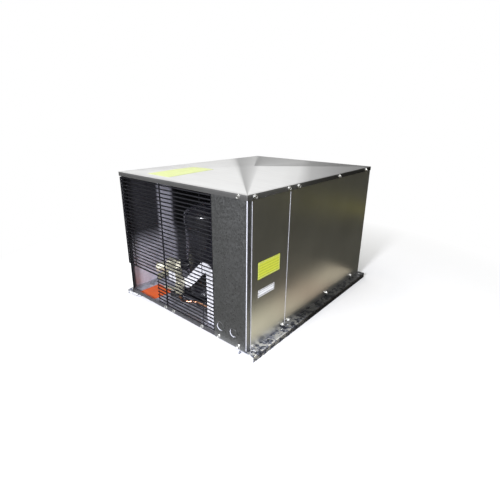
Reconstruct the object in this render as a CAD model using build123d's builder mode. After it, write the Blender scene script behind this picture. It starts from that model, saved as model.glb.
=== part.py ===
from build123d import *
import math
import os

# A refrigeration condensing unit in a low sheet-metal hood. All sizes are in millimetres.
# X runs to the right as seen from the grille, Y from the grille to the coil, and Z up.
# The origin is the centre of the mounting-slot pattern, on the ground.

# Hood sheets
HOOD_WIDTH = 584.0
HOOD_DEPTH = 762.0
HOOD_HEIGHT = 457.0
SHEET = 1.2
LAP_GAP = 0.15
BEND_RADIUS = 2.4
COVER_LIP = 14.0
CROSS_BREAK_RISE = 10.0
FRONT_PANEL_WIDTH = 130.0
CORNER_STRIP = 18.0
ACCESS_WIDTH = 174.0
ACCESS_EDGE_GAP = 0.5
TONGUE = 20.0
EDGE_RETURN = 12.0
REAR_RETURN = 25.0
SIDE_FRONT_RETURN = 16.0
KNOCKOUT_DIAMETER = 28.0
KNOCKOUT_SLIT = 0.8
KNOCKOUT_TAB = 6.0
KNOCKOUT_HEIGHT = 46.0
KNOCKOUT_FROM_CORNER = (48.0, 100.5)

# Base pan and mounting rails
RAIL_HEIGHT = 20.0
RAIL_SHEET = 2.0
RAIL_OUTREACH = 27.0
RAIL_INREACH = 32.0
PAN_LIP = 14.0
NOTCH_GAP = 1.0
MOUNT_SLOT_WIDTH = 9.0
MOUNT_SLOT_LENGTH = 14.0
MOUNT_FROM_HOOD = 12.5
MOUNT_FROM_END = 20.0
RAIL_BOLT_RADIUS = 3.0
RAIL_BOLT_ACROSS = 10.0
RAIL_BOLT_HEAD = 4.0
RAIL_BOLT_LENGTH = 12.0
RAIL_BOLT_INSET = 17.0
RAIL_BOLT_FROM_LIP = 78.3
DRAIN_RADIUS = 10.0
DRAIN_X = 180.0
DRAIN_Y = 120.0

# Sheet-metal screws with hex washer heads
SCREW_RADIUS = 2.0
SCREW_LENGTH = 8.0
SCREW_HEAD_ACROSS = 8.0
SCREW_HEAD_HEIGHT = 4.0
SCREW_WASHER_RADIUS = 5.5
SCREW_WASHER = 1.0
SCREW_CLEARANCE = 0.1
SCREW_HEIGHT = 9.0
TOP_SCREW_DROP = 7.0
FRONT_LOW_SCREWS = (-80.0, -37.0, 105.0)
FRONT_PANEL_SCREWS = (182.0, 262.0)
ACCESS_SCREW_INSETS = (12.0, 11.0)
TOP_SCREW_FROM_ACCESS = 39.0
TOP_SCREWS_FROM_REAR = (274.0, 51.0)
LOW_SCREW_FROM_ACCESS = 24.0
LOW_SCREWS_FROM_REAR = (291.0, 81.0)
REAR_SCREW_INSET = 14.0

# Wire grille
WIRE_PITCH = 12.7
WIRE_RADIUS = 1.15
BAR_RADIUS = 2.4
WELD_GAP = 0.05
SEAT_GAP = 0.1
WIRE_END_GAP = 0.5
BAR_TUCK = 6.0
CUTOUT_WIDTH = 174.0
CUTOUT_HEIGHT = 116.5
MIDDLE_BAR_FROM_CORNER = 365.6
THIN_BARS_FROM_CORNER = (537.0, 180.5)

# Compressor
COMPRESSOR_X = -46.0
COMPRESSOR_Y = -198.0
SHELL_RADIUS = 80.0
CAP_RADIUS = 84.0
SHELL_HEIGHT = 338.0
SHELL_DOME = 34.0
SHELL_FOOT_ROUND = 12.0
LOWER_CAP_HEIGHT = 46.0
UPPER_CAP_HEIGHT = 74.0
FOOT_SPACING = 190.5
FOOT_PLATE = 222.0
FOOT_THICKNESS = 4.0
FOOT_CORNER = 18.0
GROMMET_HEIGHT = 14.0
GROMMET_RADIUS = 14.0
GROMMET_NECK = 10.0
GROMMET_TOP = 4.0
FOOT_BOLT_RADIUS = 4.0
FOOT_BOLT_GAP = 0.3
FOOT_BOLT_HEAD = 6.0
FOOT_BOLT_ACROSS = 13.0
FOOT_WASHER_RADIUS = 12.0
FOOT_WASHER = 1.6
TERMINAL_BOX_WIDTH = 70.0
TERMINAL_BOX_HEIGHT = 96.0
TERMINAL_BOX_DEPTH = 42.0
TERMINAL_BOX_RISE = 84.0
TERMINAL_COVER = 6.0
TERMINAL_COVER_LAP = 1.5

# Service valves
VALVE_ANGLE = 228.5
VALVE_RISE = 104.0
STUB_RADIUS = 17.0
STUB_REACH = 104.0
VALVE_NUT_ACROSS = 40.0
VALVE_NUT = 16.0
VALVE_BLOCK = 32.0
VALVE_BLOCK_HEIGHT = 56.0
GLAND_RADIUS = 11.0
GLAND_LENGTH = 10.0
STEM_RADIUS = 4.2
STEM_SQUARE = 5.2
STEM_GAP = 0.05
STEM_REACH = 14.0
STEM_DEPTH = 16.0
CAP_ACROSS = 28.0
CAP_LENGTH = 28.0
CAP_WALL = 3.0
CAP_SEAT_GAP = 0.1
CAP_BORE = 9.0
NECK_GAP = 0.4
NECK_LENGTH = 6.0
SUCTION_CUP_BORE = 9.6
SUCTION_CUP_WALL = 1.1
SUCTION_TUBE_DROP = 22.0
SUCTION_TUBE_END_Y = -358.0
LIQUID_VALVE_X = -28.0
LIQUID_VALVE_Y = -353.5
LIQUID_VALVE_RADIUS = 13.0
LIQUID_VALVE_BOTTOM = 92.0
LIQUID_VALVE_TOP = 150.0
LIQUID_TUBE_RADIUS = 4.8
LIQUID_CUP_BORE = 4.8
CUP_WALL = 0.8
LIQUID_OUTLET_RISE = 8.0
LIQUID_OUTLET_REACH = 66.0
LIQUID_OUTLET_TURN = 9.5
SMALL_CAP_ACROSS = 22.0
SMALL_CAP_BORE = 7.0
SMALL_STEM_RADIUS = 4.0
SMALL_STEM_SQUARE = 5.0

# Bracket that carries the liquid valve
BRACKET_SHEET = 2.0
BRACKET_BAND = 33.0
BRACKET_FACE_Y = -338.0
BRACKET_Z = 130.0
BRACKET_LEFT_X = -105.0
BRACKET_KNEE_X = -5.0
BRACKET_LEG_X = 105.0
BRACKET_TOP_Z = 240.0
BRACKET_FOOT = 24.0
BRACKET_BEND = 20.0
FOOT_SCREW_SPREAD = 18.0

# Receiver, drier and sight glass
RECEIVER_RADIUS = 51.0
RECEIVER_LENGTH = 360.0
RECEIVER_X = -55.0
RECEIVER_Y = -8.0
RECEIVER_LIFT = 8.0
RECEIVER_DOME = 34.0
SADDLE_WIDTH = 26.0
SADDLE_SHEET = 3.0
SADDLE_SPACING = 200.0
SADDLE_LEG = 44.0
SADDLE_FOOT = 22.0
SADDLE_BITE = -24.0
RECEIVER_SEAM = 1.5
RECEIVER_LAP = 10.0
SPIGOT = 12.0
SPIGOT_WALL = 2.0
RECEIVER_VALVE_X = 60.0
DRIER_RADIUS = 32.0
DRIER_LENGTH = 120.0
DRIER_NECK = 22.0
DRIER_X = 134.0
DRIER_Y = -195.0
DRIER_LIFT = 8.0
CLAMP_WIDTH = 16.0
CLAMP_SHEET = 1.5
CLAMP_FOOT = 46.0
GLASS_BODY_LENGTH = 24.0
GLASS_BODY_ACROSS = 26.0
LENS_RADIUS = 8.0
LENS_THICKNESS = 3.0
LINE_BEND = 16.0

# Hot-gas line
HOT_TUBE_RADIUS = 6.35
HOT_ANGLE = 30.0
HOT_RISE = 276.0
HOT_STUB = 12.0
HOT_BEND = 34.0
HOT_CORNER_Y = -60.0

# Fan, motor and shroud
SHROUD_Y = 215.0
SHROUD_FLANGE = 20.0
SHROUD_EDGE_GAP = 0.3
ORIFICE_RADIUS = 184.0
ORIFICE_LIP = 9.0
ORIFICE_DEPTH = 26.0
TUBE_HOLE_GAP = 4.0
FAN_Z = 246.0
FAN_RADIUS = 177.8
FAN_Y = 226.0
BLADES = 4
BLADE_CHORD = 118.0
BLADE_CAMBER = 11.0
BLADE_SHEET = 2.0
BLADE_PITCH = 27.0
BLADE_ROOT = 34.0
BLADE_ROOT_HALF = 22.0
BLADE_SHOULDER = 96.0
BLADE_CORNER = 26.0
SPIDER_REACH = 92.0
SPIDER_ARM = 34.0
SPIDER_SHEET = 3.0
HUB_RADIUS = 17.0
HUB_FIT = 0.02
HUB_LENGTH = 30.0
SHAFT_RADIUS = 6.35
SHAFT_FIT = 0.05
MOTOR_RADIUS = 63.5
MOTOR_LENGTH = 112.0
MOTOR_BACK_Y = 178.0
MOTOR_BELL = 24.0
MOTOR_PORT_Y = 96.0
MOTOR_BOSS_RADIUS = 18.0
MOTOR_BOSS = 6.0
MOTOR_ARM_WIDTH = 22.0
MOTOR_ARM_SHEET = 3.0
MOTOR_BAND_WIDTH = 26.0
MOTOR_BAND_SHEET = 2.0
MOTOR_ARM_REACH = 206.0
MOTOR_ARMS = 3
MOTOR_ARM_FOOT = 18.0
SHAFT_SOCKET = 46.0
SHAFT_PROUD = 8.0
SHAFT_END_GAP = 2.0

# Condenser coil
FIN_LEFT_X = -238.0
FIN_RIGHT_X = 214.0
COIL_LIFT = 6.0
COIL_TOP_GAP = 8.0
TUBE_PITCH = 25.4
ROW_PITCH = 22.0
COIL_ROWS = 3
COIL_TUBE_RADIUS = 4.8
BEND_STUB = 5.0
TUBE_SHEET = 1.5
TUBE_SHEET_FLANGE = 28.0
HEADER_RADIUS = 8.0
HEADER_STUB = 8.0
GAS_HEADER = (210.0, 440.0)
LIQUID_HEADER = (50.0, 150.0)
GAS_HEADER_TUBES = (8, 10, 12, 14)
LIQUID_HEADER_TUBES = (1, 3)
HEADER_CLEARANCE = 3.0

# Control box and what it holds
BOX_LEFT_X = 174.0
BOX_RIGHT_X = 276.0
BOX_BACK_Y = -205.0
BOX_BOTTOM_Z = 156.0
BOX_TOP_Z = 446.0
BOX_SHEET = 1.0
BOX_LEG_WIDTH = 34.0
BOX_LEG_LAP = 12.0
BOX_FOOT = 22.0
CONTACTOR_WIDTH = 58.0
CONTACTOR_HEIGHT = 72.0
CONTACTOR_DEPTH = 56.0
CONTACTOR_Y = -318.0
CONTACTOR_Z = 376.0
CONTACTOR_FOOT = 4.0
ARMATURE_WIDTH = 24.0
ARMATURE_HEIGHT = 30.0
ARMATURE_DEPTH = 20.0
ARMATURE_PROUD = 5.0
ARMATURE_TRAVEL = 4.0
ARMATURE_GAP = 0.4
ARMATURE_ROUND = 1.5
POLE_STEP = 10.0
POLE_SCREW_RADIUS = 4.0
TERMINAL_BLOCK_LENGTH = 96.0
TERMINAL_BLOCK_HEIGHT = 30.0
TERMINAL_BLOCK_DEPTH = 22.0
TERMINAL_BLOCK_Z = 204.0
TERMINAL_BLOCK_Y = -300.0
TERMINAL_BARRIER = 2.0
TERMINAL_POLES = 6
CAPACITOR_RADIUS = 24.0
CAPACITOR_LENGTH = 88.0
CAPACITOR_Y = -250.0
CAPACITOR_Z = 300.0
CAPACITOR_BAND = 14.0
CAPACITOR_BAND_SHEET = 1.0
CONDUIT_RADIUS = 6.5
CONDUIT_NUT_RADIUS = 10.0
CONDUIT_NUT = 7.0
CONDUIT_Y = -218.0
CONDUIT_ENTRY_Z = 262.0
FAN_CONDUIT_X = 225.0
FAN_CONDUIT_SLANT_X = 75.0
FAN_CONDUIT_SLANT_Y = 85.0
CONDUIT_BEND = 60.0

# Planes and levels that the sheets share
HALF_WIDTH = HOOD_WIDTH / 2
HALF_DEPTH = HOOD_DEPTH / 2
TOP_Z = RAIL_HEIGHT + HOOD_HEIGHT
PANEL_X = HALF_WIDTH - SHEET - LAP_GAP
PANEL_Y = HALF_DEPTH - SHEET - LAP_GAP
PANEL_TOP = TOP_Z - SHEET - LAP_GAP
PAN_X = PANEL_X - SHEET - LAP_GAP
PAN_Y = PANEL_Y - SHEET - LAP_GAP
PAN_FLOOR = RAIL_HEIGHT + SHEET
PAN_LIP_TOP = RAIL_HEIGHT + PAN_LIP
PANEL_HEIGHT = PANEL_TOP - RAIL_HEIGHT
BAR_Y = -PAN_Y + SHEET + SEAT_GAP + BAR_RADIUS
WIRE_Y = BAR_Y - BAR_RADIUS - WIRE_RADIUS - WELD_GAP
GRILLE_BACK_Y = BAR_Y + BAR_RADIUS + SEAT_GAP
FRONT_PANEL_X = HALF_WIDTH - FRONT_PANEL_WIDTH
ACCESS_FRONT_Y = -HALF_DEPTH + CORNER_STRIP
ACCESS_REAR_Y = ACCESS_FRONT_Y + ACCESS_WIDTH
TOP_SCREW_Z = TOP_Z - TOP_SCREW_DROP
LOW_SCREW_Z = RAIL_HEIGHT + SCREW_HEIGHT
BOTTOM_UP = (Align.CENTER, Align.CENTER, Align.MIN)
CENTRE_UP = (Align.CENTER, Align.MIN)

os.makedirs("parts", exist_ok=True)


def folded_sheet(plane, points, length, side, thickness=SHEET, bend=BEND_RADIUS):
    """A folded sheet whose outer face follows the points, extruded along the plane's normal."""
    with BuildSketch(plane) as profile:
        with BuildLine():
            FilletPolyline(*points, radius=bend)
            offset(amount=thickness, side=side)
        make_face()
    extrude(profile.sketch, amount=length)


def turned(plane, outline):
    """A turned solid: the outline is (radius, height) on the plane, whose y axis is the turning axis."""
    with BuildSketch(plane) as profile:
        with BuildLine():
            Polyline(*outline, close=True)
        make_face()
    revolve(profile.sketch, axis=Axis(plane.origin, plane.y_dir))


def upright(x, y, z):
    """A plane for turned solids that stand on a point, with its own y axis pointing up."""
    return Plane(origin=(x, y, z), x_dir=(1, 0, 0), z_dir=(0, -1, 0))


def bent_tube(points, radius, bend):
    """A line of tube: straight runs joined by tangent bends."""
    with BuildLine() as route:
        FilletPolyline(*points, radius=bend)
    with BuildSketch(Plane(origin=route.line @ 0, z_dir=route.line % 0)) as section:
        Circle(radius)
    sweep(section.sketch, path=route.line)


def small_bend(points, radius):
    """A small tube bend with eight flats and mitred corners, because it repeats many times."""
    with BuildLine() as route:
        Polyline(*points)
    with BuildSketch(Plane(origin=route.line @ 0, z_dir=route.line % 0)) as section:
        RegularPolygon(radius, 8)
    sweep(section.sketch, path=route.line, transition=Transition.RIGHT)


def hex_prism(plane, across, height):
    """A hexagonal prism that stands on the plane."""
    with BuildSketch(plane) as profile:
        RegularPolygon(across / 2, 6, major_radius=False)
    extrude(profile.sketch, amount=height)


def rod(plane, radius, length):
    """A round bar that stands on the plane."""
    with BuildSketch(plane) as profile:
        Circle(radius)
    extrude(profile.sketch, amount=length)


def thin_rod(plane, radius, length):
    """A thin bar or shank, given eight flats because it repeats many times."""
    with BuildSketch(plane) as profile:
        RegularPolygon(radius, 8)
    extrude(profile.sketch, amount=length)


def small_holes(planes, radius, depth):
    """Holes for thin shanks, through every sheet within the depth on both sides of the planes."""
    for plane in planes:
        with BuildSketch(plane) as profile:
            RegularPolygon(radius, 8, major_radius=False)
        extrude(profile.sketch, amount=depth, both=True, mode=Mode.SUBTRACT)


def screw_planes(x_values, y_values, z, direction):
    """One plane for each screw, with its own z axis pointing out of the sheet."""
    return [Plane(origin=(x, y, z), z_dir=direction) for x in x_values for y in y_values]


def drive_screws(planes):
    """Sheet-metal screws: a hexagonal head on a washer face, with the shank going in."""
    for plane in planes:
        thin_rod(plane, SCREW_WASHER_RADIUS, SCREW_WASHER)
        hex_prism(plane.offset(SCREW_WASHER), SCREW_HEAD_ACROSS, SCREW_HEAD_HEIGHT)
        thin_rod(plane, SCREW_RADIUS, -SCREW_LENGTH)


def drill_for(planes):
    """Clearance holes for screws, through every sheet that a shank meets."""
    small_holes(planes, SCREW_RADIUS + SCREW_CLEARANCE, SCREW_LENGTH)


FRONT = (0, -1, 0)
REAR = (0, 1, 0)
LEFT = (-1, 0, 0)
RIGHT = (1, 0, 0)
UP = (0, 0, 1)

access_screw_ys = (ACCESS_FRONT_Y + ACCESS_SCREW_INSETS[0], ACCESS_REAR_Y - ACCESS_SCREW_INSETS[1])
low_screw_ys = [ACCESS_REAR_Y + LOW_SCREW_FROM_ACCESS]
low_screw_ys += [HALF_DEPTH - reach for reach in LOW_SCREWS_FROM_REAR]
top_screw_ys = [ACCESS_REAR_Y + TOP_SCREW_FROM_ACCESS]
top_screw_ys += [HALF_DEPTH - reach for reach in TOP_SCREWS_FROM_REAR]
front_screws = screw_planes(FRONT_LOW_SCREWS, (-PAN_Y,), LOW_SCREW_Z, FRONT)
front_screws += screw_planes(FRONT_PANEL_SCREWS, (-PANEL_Y,), LOW_SCREW_Z, FRONT)
front_top_screws = screw_planes((FRONT_PANEL_SCREWS[1],), (-HALF_DEPTH,), TOP_SCREW_Z, FRONT)
right_screws = screw_planes((PANEL_X,), low_screw_ys, LOW_SCREW_Z, RIGHT)
left_screws = screw_planes((-PANEL_X,), (access_screw_ys[0], *low_screw_ys), LOW_SCREW_Z, LEFT)
right_top_screws = screw_planes((HALF_WIDTH,), (*access_screw_ys, *top_screw_ys), TOP_SCREW_Z, RIGHT)
left_top_screws = screw_planes((-HALF_WIDTH,), (access_screw_ys[0], *top_screw_ys), TOP_SCREW_Z, LEFT)
rear_xs = (-PANEL_X + REAR_SCREW_INSET, PANEL_X - REAR_SCREW_INSET)
rear_screws = screw_planes(rear_xs, (PANEL_Y,), LOW_SCREW_Z, REAR)
rear_top_screws = screw_planes(rear_xs, (HALF_DEPTH,), TOP_SCREW_Z, REAR)
access_screws = screw_planes((HALF_WIDTH,), access_screw_ys, LOW_SCREW_Z, RIGHT)

receiver_z = PAN_FLOOR + RECEIVER_LIFT + RECEIVER_RADIUS
drier_z = PAN_FLOOR + DRIER_LIFT + DRIER_RADIUS
saddle_xs = [RECEIVER_X + i * SADDLE_SPACING / 2 for i in (-1, 1)]
saddle_foot_ys = [RECEIVER_Y + i * (SADDLE_LEG + SADDLE_FOOT * 2 / 3) for i in (-1, 1)]
box_leg_ys = (-PANEL_Y + BOX_LEG_WIDTH, BOX_BACK_Y - BOX_LEG_WIDTH)
bracket_screw_xs = [BRACKET_LEG_X + i * FOOT_SCREW_SPREAD / 2 for i in (-1, 1)]
clamp_screw_xs = [DRIER_X + i * FOOT_SCREW_SPREAD for i in (-1, 1)]
bracket_screw_y = BRACKET_FACE_Y + BRACKET_SHEET + BRACKET_FOOT / 2
bracket_screws = screw_planes(bracket_screw_xs, (bracket_screw_y,), PAN_FLOOR + BRACKET_SHEET, UP)
saddle_screws = screw_planes(saddle_xs, saddle_foot_ys, PAN_FLOOR + SADDLE_SHEET, UP)
clamp_screws = screw_planes(clamp_screw_xs, (DRIER_Y,), PAN_FLOOR + CLAMP_SHEET, UP)
leg_screws = screw_planes((BOX_LEFT_X + BOX_FOOT * 2 / 3,), box_leg_ys, PAN_FLOOR + BOX_SHEET, UP)
floor_screws = bracket_screws + saddle_screws + clamp_screws + leg_screws
lip_screws = front_top_screws + right_top_screws + left_top_screws + rear_top_screws
low_screws = front_screws + right_screws + left_screws + rear_screws
rail_bolt_ys = (RAIL_BOLT_FROM_LIP - PAN_Y, 0, PAN_Y - RAIL_BOLT_FROM_LIP)
rail_bolt_x = PAN_X - RAIL_BOLT_INSET
foot_bolts = [
    (COMPRESSOR_X + i * FOOT_SPACING / 2, COMPRESSOR_Y + j * FOOT_SPACING / 2)
    for i in (-1, 1)
    for j in (-1, 1)
]

# Mounting rails: channels open downwards, whose outer halves stand out beyond the hood
for rail_name, side in (("left_rail", -1), ("right_rail", 1)):
    inner = side * (HALF_WIDTH - RAIL_INREACH)
    outer = side * (HALF_WIDTH + RAIL_OUTREACH)
    slot_x = side * (HALF_WIDTH + MOUNT_FROM_HOOD)
    slot_y = HALF_DEPTH - MOUNT_FROM_END
    with BuildPart() as rail:
        folded_sheet(
            Plane.XZ.offset(-HALF_DEPTH),
            ((inner, 0), (inner, RAIL_HEIGHT), (outer, RAIL_HEIGHT), (outer, 0)),
            HOOD_DEPTH,
            Side.RIGHT if side > 0 else Side.LEFT,
            RAIL_SHEET,
        )
        with BuildSketch(Plane.XY.offset(RAIL_HEIGHT)):
            with Locations((slot_x, -slot_y), (slot_x, slot_y)):
                SlotOverall(MOUNT_SLOT_LENGTH, MOUNT_SLOT_WIDTH)
            with Locations(*[(side * rail_bolt_x, y) for y in rail_bolt_ys]):
                RegularPolygon(RAIL_BOLT_RADIUS + SCREW_CLEARANCE, 8, major_radius=False)
        extrude(amount=-2 * RAIL_SHEET, mode=Mode.SUBTRACT)
    rail.part.label = rail_name
    export_step(rail.part, f"parts/{rail_name}.step")

# Base pan: a floor with a lip turned up on all four sides
with BuildPart() as base_pan:
    with Locations((0, 0, RAIL_HEIGHT)):
        Box(2 * PAN_X, 2 * PAN_Y, PAN_LIP, align=BOTTOM_UP)
    fillet(base_pan.edges().filter_by(Axis.Z), BEND_RADIUS)
    offset(amount=-SHEET, openings=base_pan.faces().sort_by(Axis.Z)[-1])
    drill_for(low_screws + access_screws + floor_screws)
    with BuildSketch(Plane.XY.offset(RAIL_HEIGHT)):
        with Locations(*[(i * rail_bolt_x, y) for i in (-1, 1) for y in rail_bolt_ys]):
            RegularPolygon(RAIL_BOLT_RADIUS + SCREW_CLEARANCE, 8, major_radius=False)
        with Locations(*foot_bolts):
            Circle(FOOT_BOLT_RADIUS + FOOT_BOLT_GAP)
        with Locations((-DRAIN_X, DRAIN_Y), (DRAIN_X, DRAIN_Y)):
            Circle(DRAIN_RADIUS)
    extrude(amount=2 * SHEET, mode=Mode.SUBTRACT)
base_pan.part.label = "base_pan"
export_step(base_pan.part, "parts/base_pan.step")

# Bolts that hold the pan to the rails
with BuildPart() as rail_bolts:
    for x in (-rail_bolt_x, rail_bolt_x):
        for y in rail_bolt_ys:
            seat = Plane(origin=(x, y, PAN_FLOOR))
            hex_prism(seat, RAIL_BOLT_ACROSS, RAIL_BOLT_HEAD)
            thin_rod(seat, RAIL_BOLT_RADIUS, -RAIL_BOLT_LENGTH)
rail_bolts.part.label = "rail_bolts"
export_step(rail_bolts.part, "parts/rail_bolts.step")

# Top cover: a sheet broken along its diagonals into a low pyramid, with lips turned down
with BuildPart() as top_cover:
    with BuildSketch(Plane.XY.offset(TOP_Z - COVER_LIP)):
        RectangleRounded(HOOD_WIDTH, HOOD_DEPTH, BEND_RADIUS)
    extrude(amount=COVER_LIP)
    with BuildSketch(Plane.XY.offset(TOP_Z), mode=Mode.PRIVATE) as cover_plan:
        Rectangle(HOOD_WIDTH - 2 * BEND_RADIUS, HOOD_DEPTH - 2 * BEND_RADIUS)
    loft([cover_plan.sketch.face(), Vertex(0, 0, TOP_Z + CROSS_BREAK_RISE)])
    with BuildSketch(Plane.XY.offset(TOP_Z - COVER_LIP)):
        Rectangle(HOOD_WIDTH - 2 * SHEET, HOOD_DEPTH - 2 * SHEET)
    extrude(amount=COVER_LIP - SHEET, mode=Mode.SUBTRACT)
    with BuildSketch(Plane.XY.offset(TOP_Z - SHEET), mode=Mode.PRIVATE) as cover_inside:
        Rectangle(HOOD_WIDTH - 2 * BEND_RADIUS, HOOD_DEPTH - 2 * BEND_RADIUS)
    cover_apex = Vertex(0, 0, TOP_Z + CROSS_BREAK_RISE - SHEET)
    loft([cover_inside.sketch.face(), cover_apex], mode=Mode.SUBTRACT)
    drill_for(lip_screws)
top_cover.part.label = "top_cover"
export_step(top_cover.part, "parts/top_cover.step")

# Left side: one sheet with a return behind the grille and one at the rear
with BuildPart() as left_panel:
    folded_sheet(
        Plane.XY.offset(RAIL_HEIGHT),
        (
            (-PANEL_X + SIDE_FRONT_RETURN, GRILLE_BACK_Y),
            (-PANEL_X, GRILLE_BACK_Y),
            (-PANEL_X, PANEL_Y),
            (-PANEL_X + REAR_RETURN, PANEL_Y),
        ),
        PANEL_HEIGHT,
        Side.RIGHT,
    )
    with Locations((-PANEL_X + SHEET, GRILLE_BACK_Y - SHEET, RAIL_HEIGHT)):
        Box(
            SIDE_FRONT_RETURN,
            4 * SHEET,
            PAN_LIP + NOTCH_GAP,
            align=(Align.MIN, Align.MIN, Align.MIN),
            mode=Mode.SUBTRACT,
        )
    drill_for(left_screws + left_top_screws + rear_screws + rear_top_screws)
left_panel.part.label = "left_panel"
export_step(left_panel.part, "parts/left_panel.step")

# Right side behind the access panel: its front edge is a tongue that the access panel laps
with BuildPart() as right_panel:
    tongue_y = ACCESS_REAR_Y - TONGUE
    folded_sheet(
        Plane.XY.offset(RAIL_HEIGHT),
        (
            (PANEL_X - EDGE_RETURN, tongue_y),
            (PANEL_X, tongue_y),
            (PANEL_X, PANEL_Y),
            (PANEL_X - REAR_RETURN, PANEL_Y),
        ),
        PANEL_HEIGHT,
        Side.LEFT,
    )
    with Locations((PANEL_X - SHEET, tongue_y - SHEET, RAIL_HEIGHT)):
        Box(
            EDGE_RETURN,
            4 * SHEET,
            PAN_LIP + NOTCH_GAP,
            align=(Align.MAX, Align.MIN, Align.MIN),
            mode=Mode.SUBTRACT,
        )
    drill_for(right_screws + right_top_screws + access_screws + rear_screws + rear_top_screws)
right_panel.part.label = "right_panel"
export_step(right_panel.part, "parts/right_panel.step")

# Front panel beside the grille, folded round the corner, with two electrical knock-outs
with BuildPart() as front_panel:
    strip_end_y = ACCESS_FRONT_Y + TONGUE
    folded_sheet(
        Plane.XY.offset(RAIL_HEIGHT),
        (
            (FRONT_PANEL_X, -PANEL_Y + EDGE_RETURN),
            (FRONT_PANEL_X, -PANEL_Y),
            (PANEL_X, -PANEL_Y),
            (PANEL_X, strip_end_y),
            (PANEL_X - EDGE_RETURN, strip_end_y),
        ),
        PANEL_HEIGHT,
        Side.LEFT,
    )
    with Locations((FRONT_PANEL_X, -PANEL_Y + SHEET, RAIL_HEIGHT)):
        Box(
            4 * SHEET,
            EDGE_RETURN,
            PAN_LIP + NOTCH_GAP,
            align=(Align.CENTER, Align.MIN, Align.MIN),
            mode=Mode.SUBTRACT,
        )
    with Locations((PANEL_X - SHEET, strip_end_y + SHEET, RAIL_HEIGHT)):
        Box(
            EDGE_RETURN,
            4 * SHEET,
            PAN_LIP + NOTCH_GAP,
            align=(Align.MAX, Align.MAX, Align.MIN),
            mode=Mode.SUBTRACT,
        )
    with BuildSketch(Plane.XZ.offset(PANEL_Y)):
        with Locations(*[(HALF_WIDTH - d, RAIL_HEIGHT + KNOCKOUT_HEIGHT) for d in KNOCKOUT_FROM_CORNER]):
            Circle(KNOCKOUT_DIAMETER / 2 + KNOCKOUT_SLIT)
            Circle(KNOCKOUT_DIAMETER / 2, mode=Mode.SUBTRACT)
            Rectangle(2 * KNOCKOUT_DIAMETER, KNOCKOUT_TAB, rotation=45, mode=Mode.SUBTRACT)
    extrude(amount=-2 * SHEET, mode=Mode.SUBTRACT)
    drill_for(front_screws + front_top_screws + right_top_screws + access_screws)
front_panel.part.label = "front_panel"
export_step(front_panel.part, "parts/front_panel.step")

# Access panel: a flat sheet that laps the corner strip and the side panel
with BuildPart() as access_panel:
    with Locations((HALF_WIDTH - SHEET, ACCESS_FRONT_Y, RAIL_HEIGHT + ACCESS_EDGE_GAP)):
        Box(
            SHEET,
            ACCESS_WIDTH,
            HOOD_HEIGHT - COVER_LIP - 2 * ACCESS_EDGE_GAP,
            align=(Align.MIN, Align.MIN, Align.MIN),
        )
    fillet(access_panel.edges().filter_by(Axis.X), BEND_RADIUS)
    drill_for(access_screws)
access_panel.part.label = "access_panel"
export_step(access_panel.part, "parts/access_panel.step")

with BuildPart() as access_panel_screws:
    drive_screws(access_screws)
access_panel_screws.part.label = "access_panel_screws"
export_step(access_panel_screws.part, "parts/access_panel_screws.step")

with BuildPart() as hood_screws:
    drive_screws(low_screws + lip_screws)
hood_screws.part.label = "hood_screws"
export_step(hood_screws.part, "parts/hood_screws.step")

with BuildPart() as floor_screw_group:
    drive_screws(floor_screws)
floor_screw_group.part.label = "floor_screws"
export_step(floor_screw_group.part, "parts/floor_screws.step")

# Wire grille: cross wires welded to the front of upright bars, cut away at the lower left for the pipes
wire_left = -PANEL_X + SHEET + WIRE_END_GAP
wire_right = FRONT_PANEL_X - WIRE_END_GAP
cutout_x = -HALF_WIDTH + CUTOUT_WIDTH
cutout_z = RAIL_HEIGHT + CUTOUT_HEIGHT
window_height = HOOD_HEIGHT - COVER_LIP - PAN_LIP
wire_gaps = int((window_height - 4 * WIRE_RADIUS) // WIRE_PITCH)
first_wire_z = PAN_LIP_TOP + (window_height - wire_gaps * WIRE_PITCH) / 2
wire_zs = [first_wire_z + i * WIRE_PITCH for i in range(wire_gaps + 1)]

with BuildPart() as grille_upper_wires:
    for z in wire_zs:
        if z > cutout_z:
            thin_rod(Plane(origin=(wire_left, WIRE_Y, z), z_dir=RIGHT), WIRE_RADIUS, wire_right - wire_left)
grille_upper_wires.part.label = "grille_upper_wires"
export_step(grille_upper_wires.part, "parts/grille_upper_wires.step")

with BuildPart() as grille_lower_wires:
    for z in wire_zs:
        if z < cutout_z:
            thin_rod(Plane(origin=(cutout_x, WIRE_Y, z), z_dir=RIGHT), WIRE_RADIUS, wire_right - cutout_x)
grille_lower_wires.part.label = "grille_lower_wires"
export_step(grille_lower_wires.part, "parts/grille_lower_wires.step")

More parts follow.
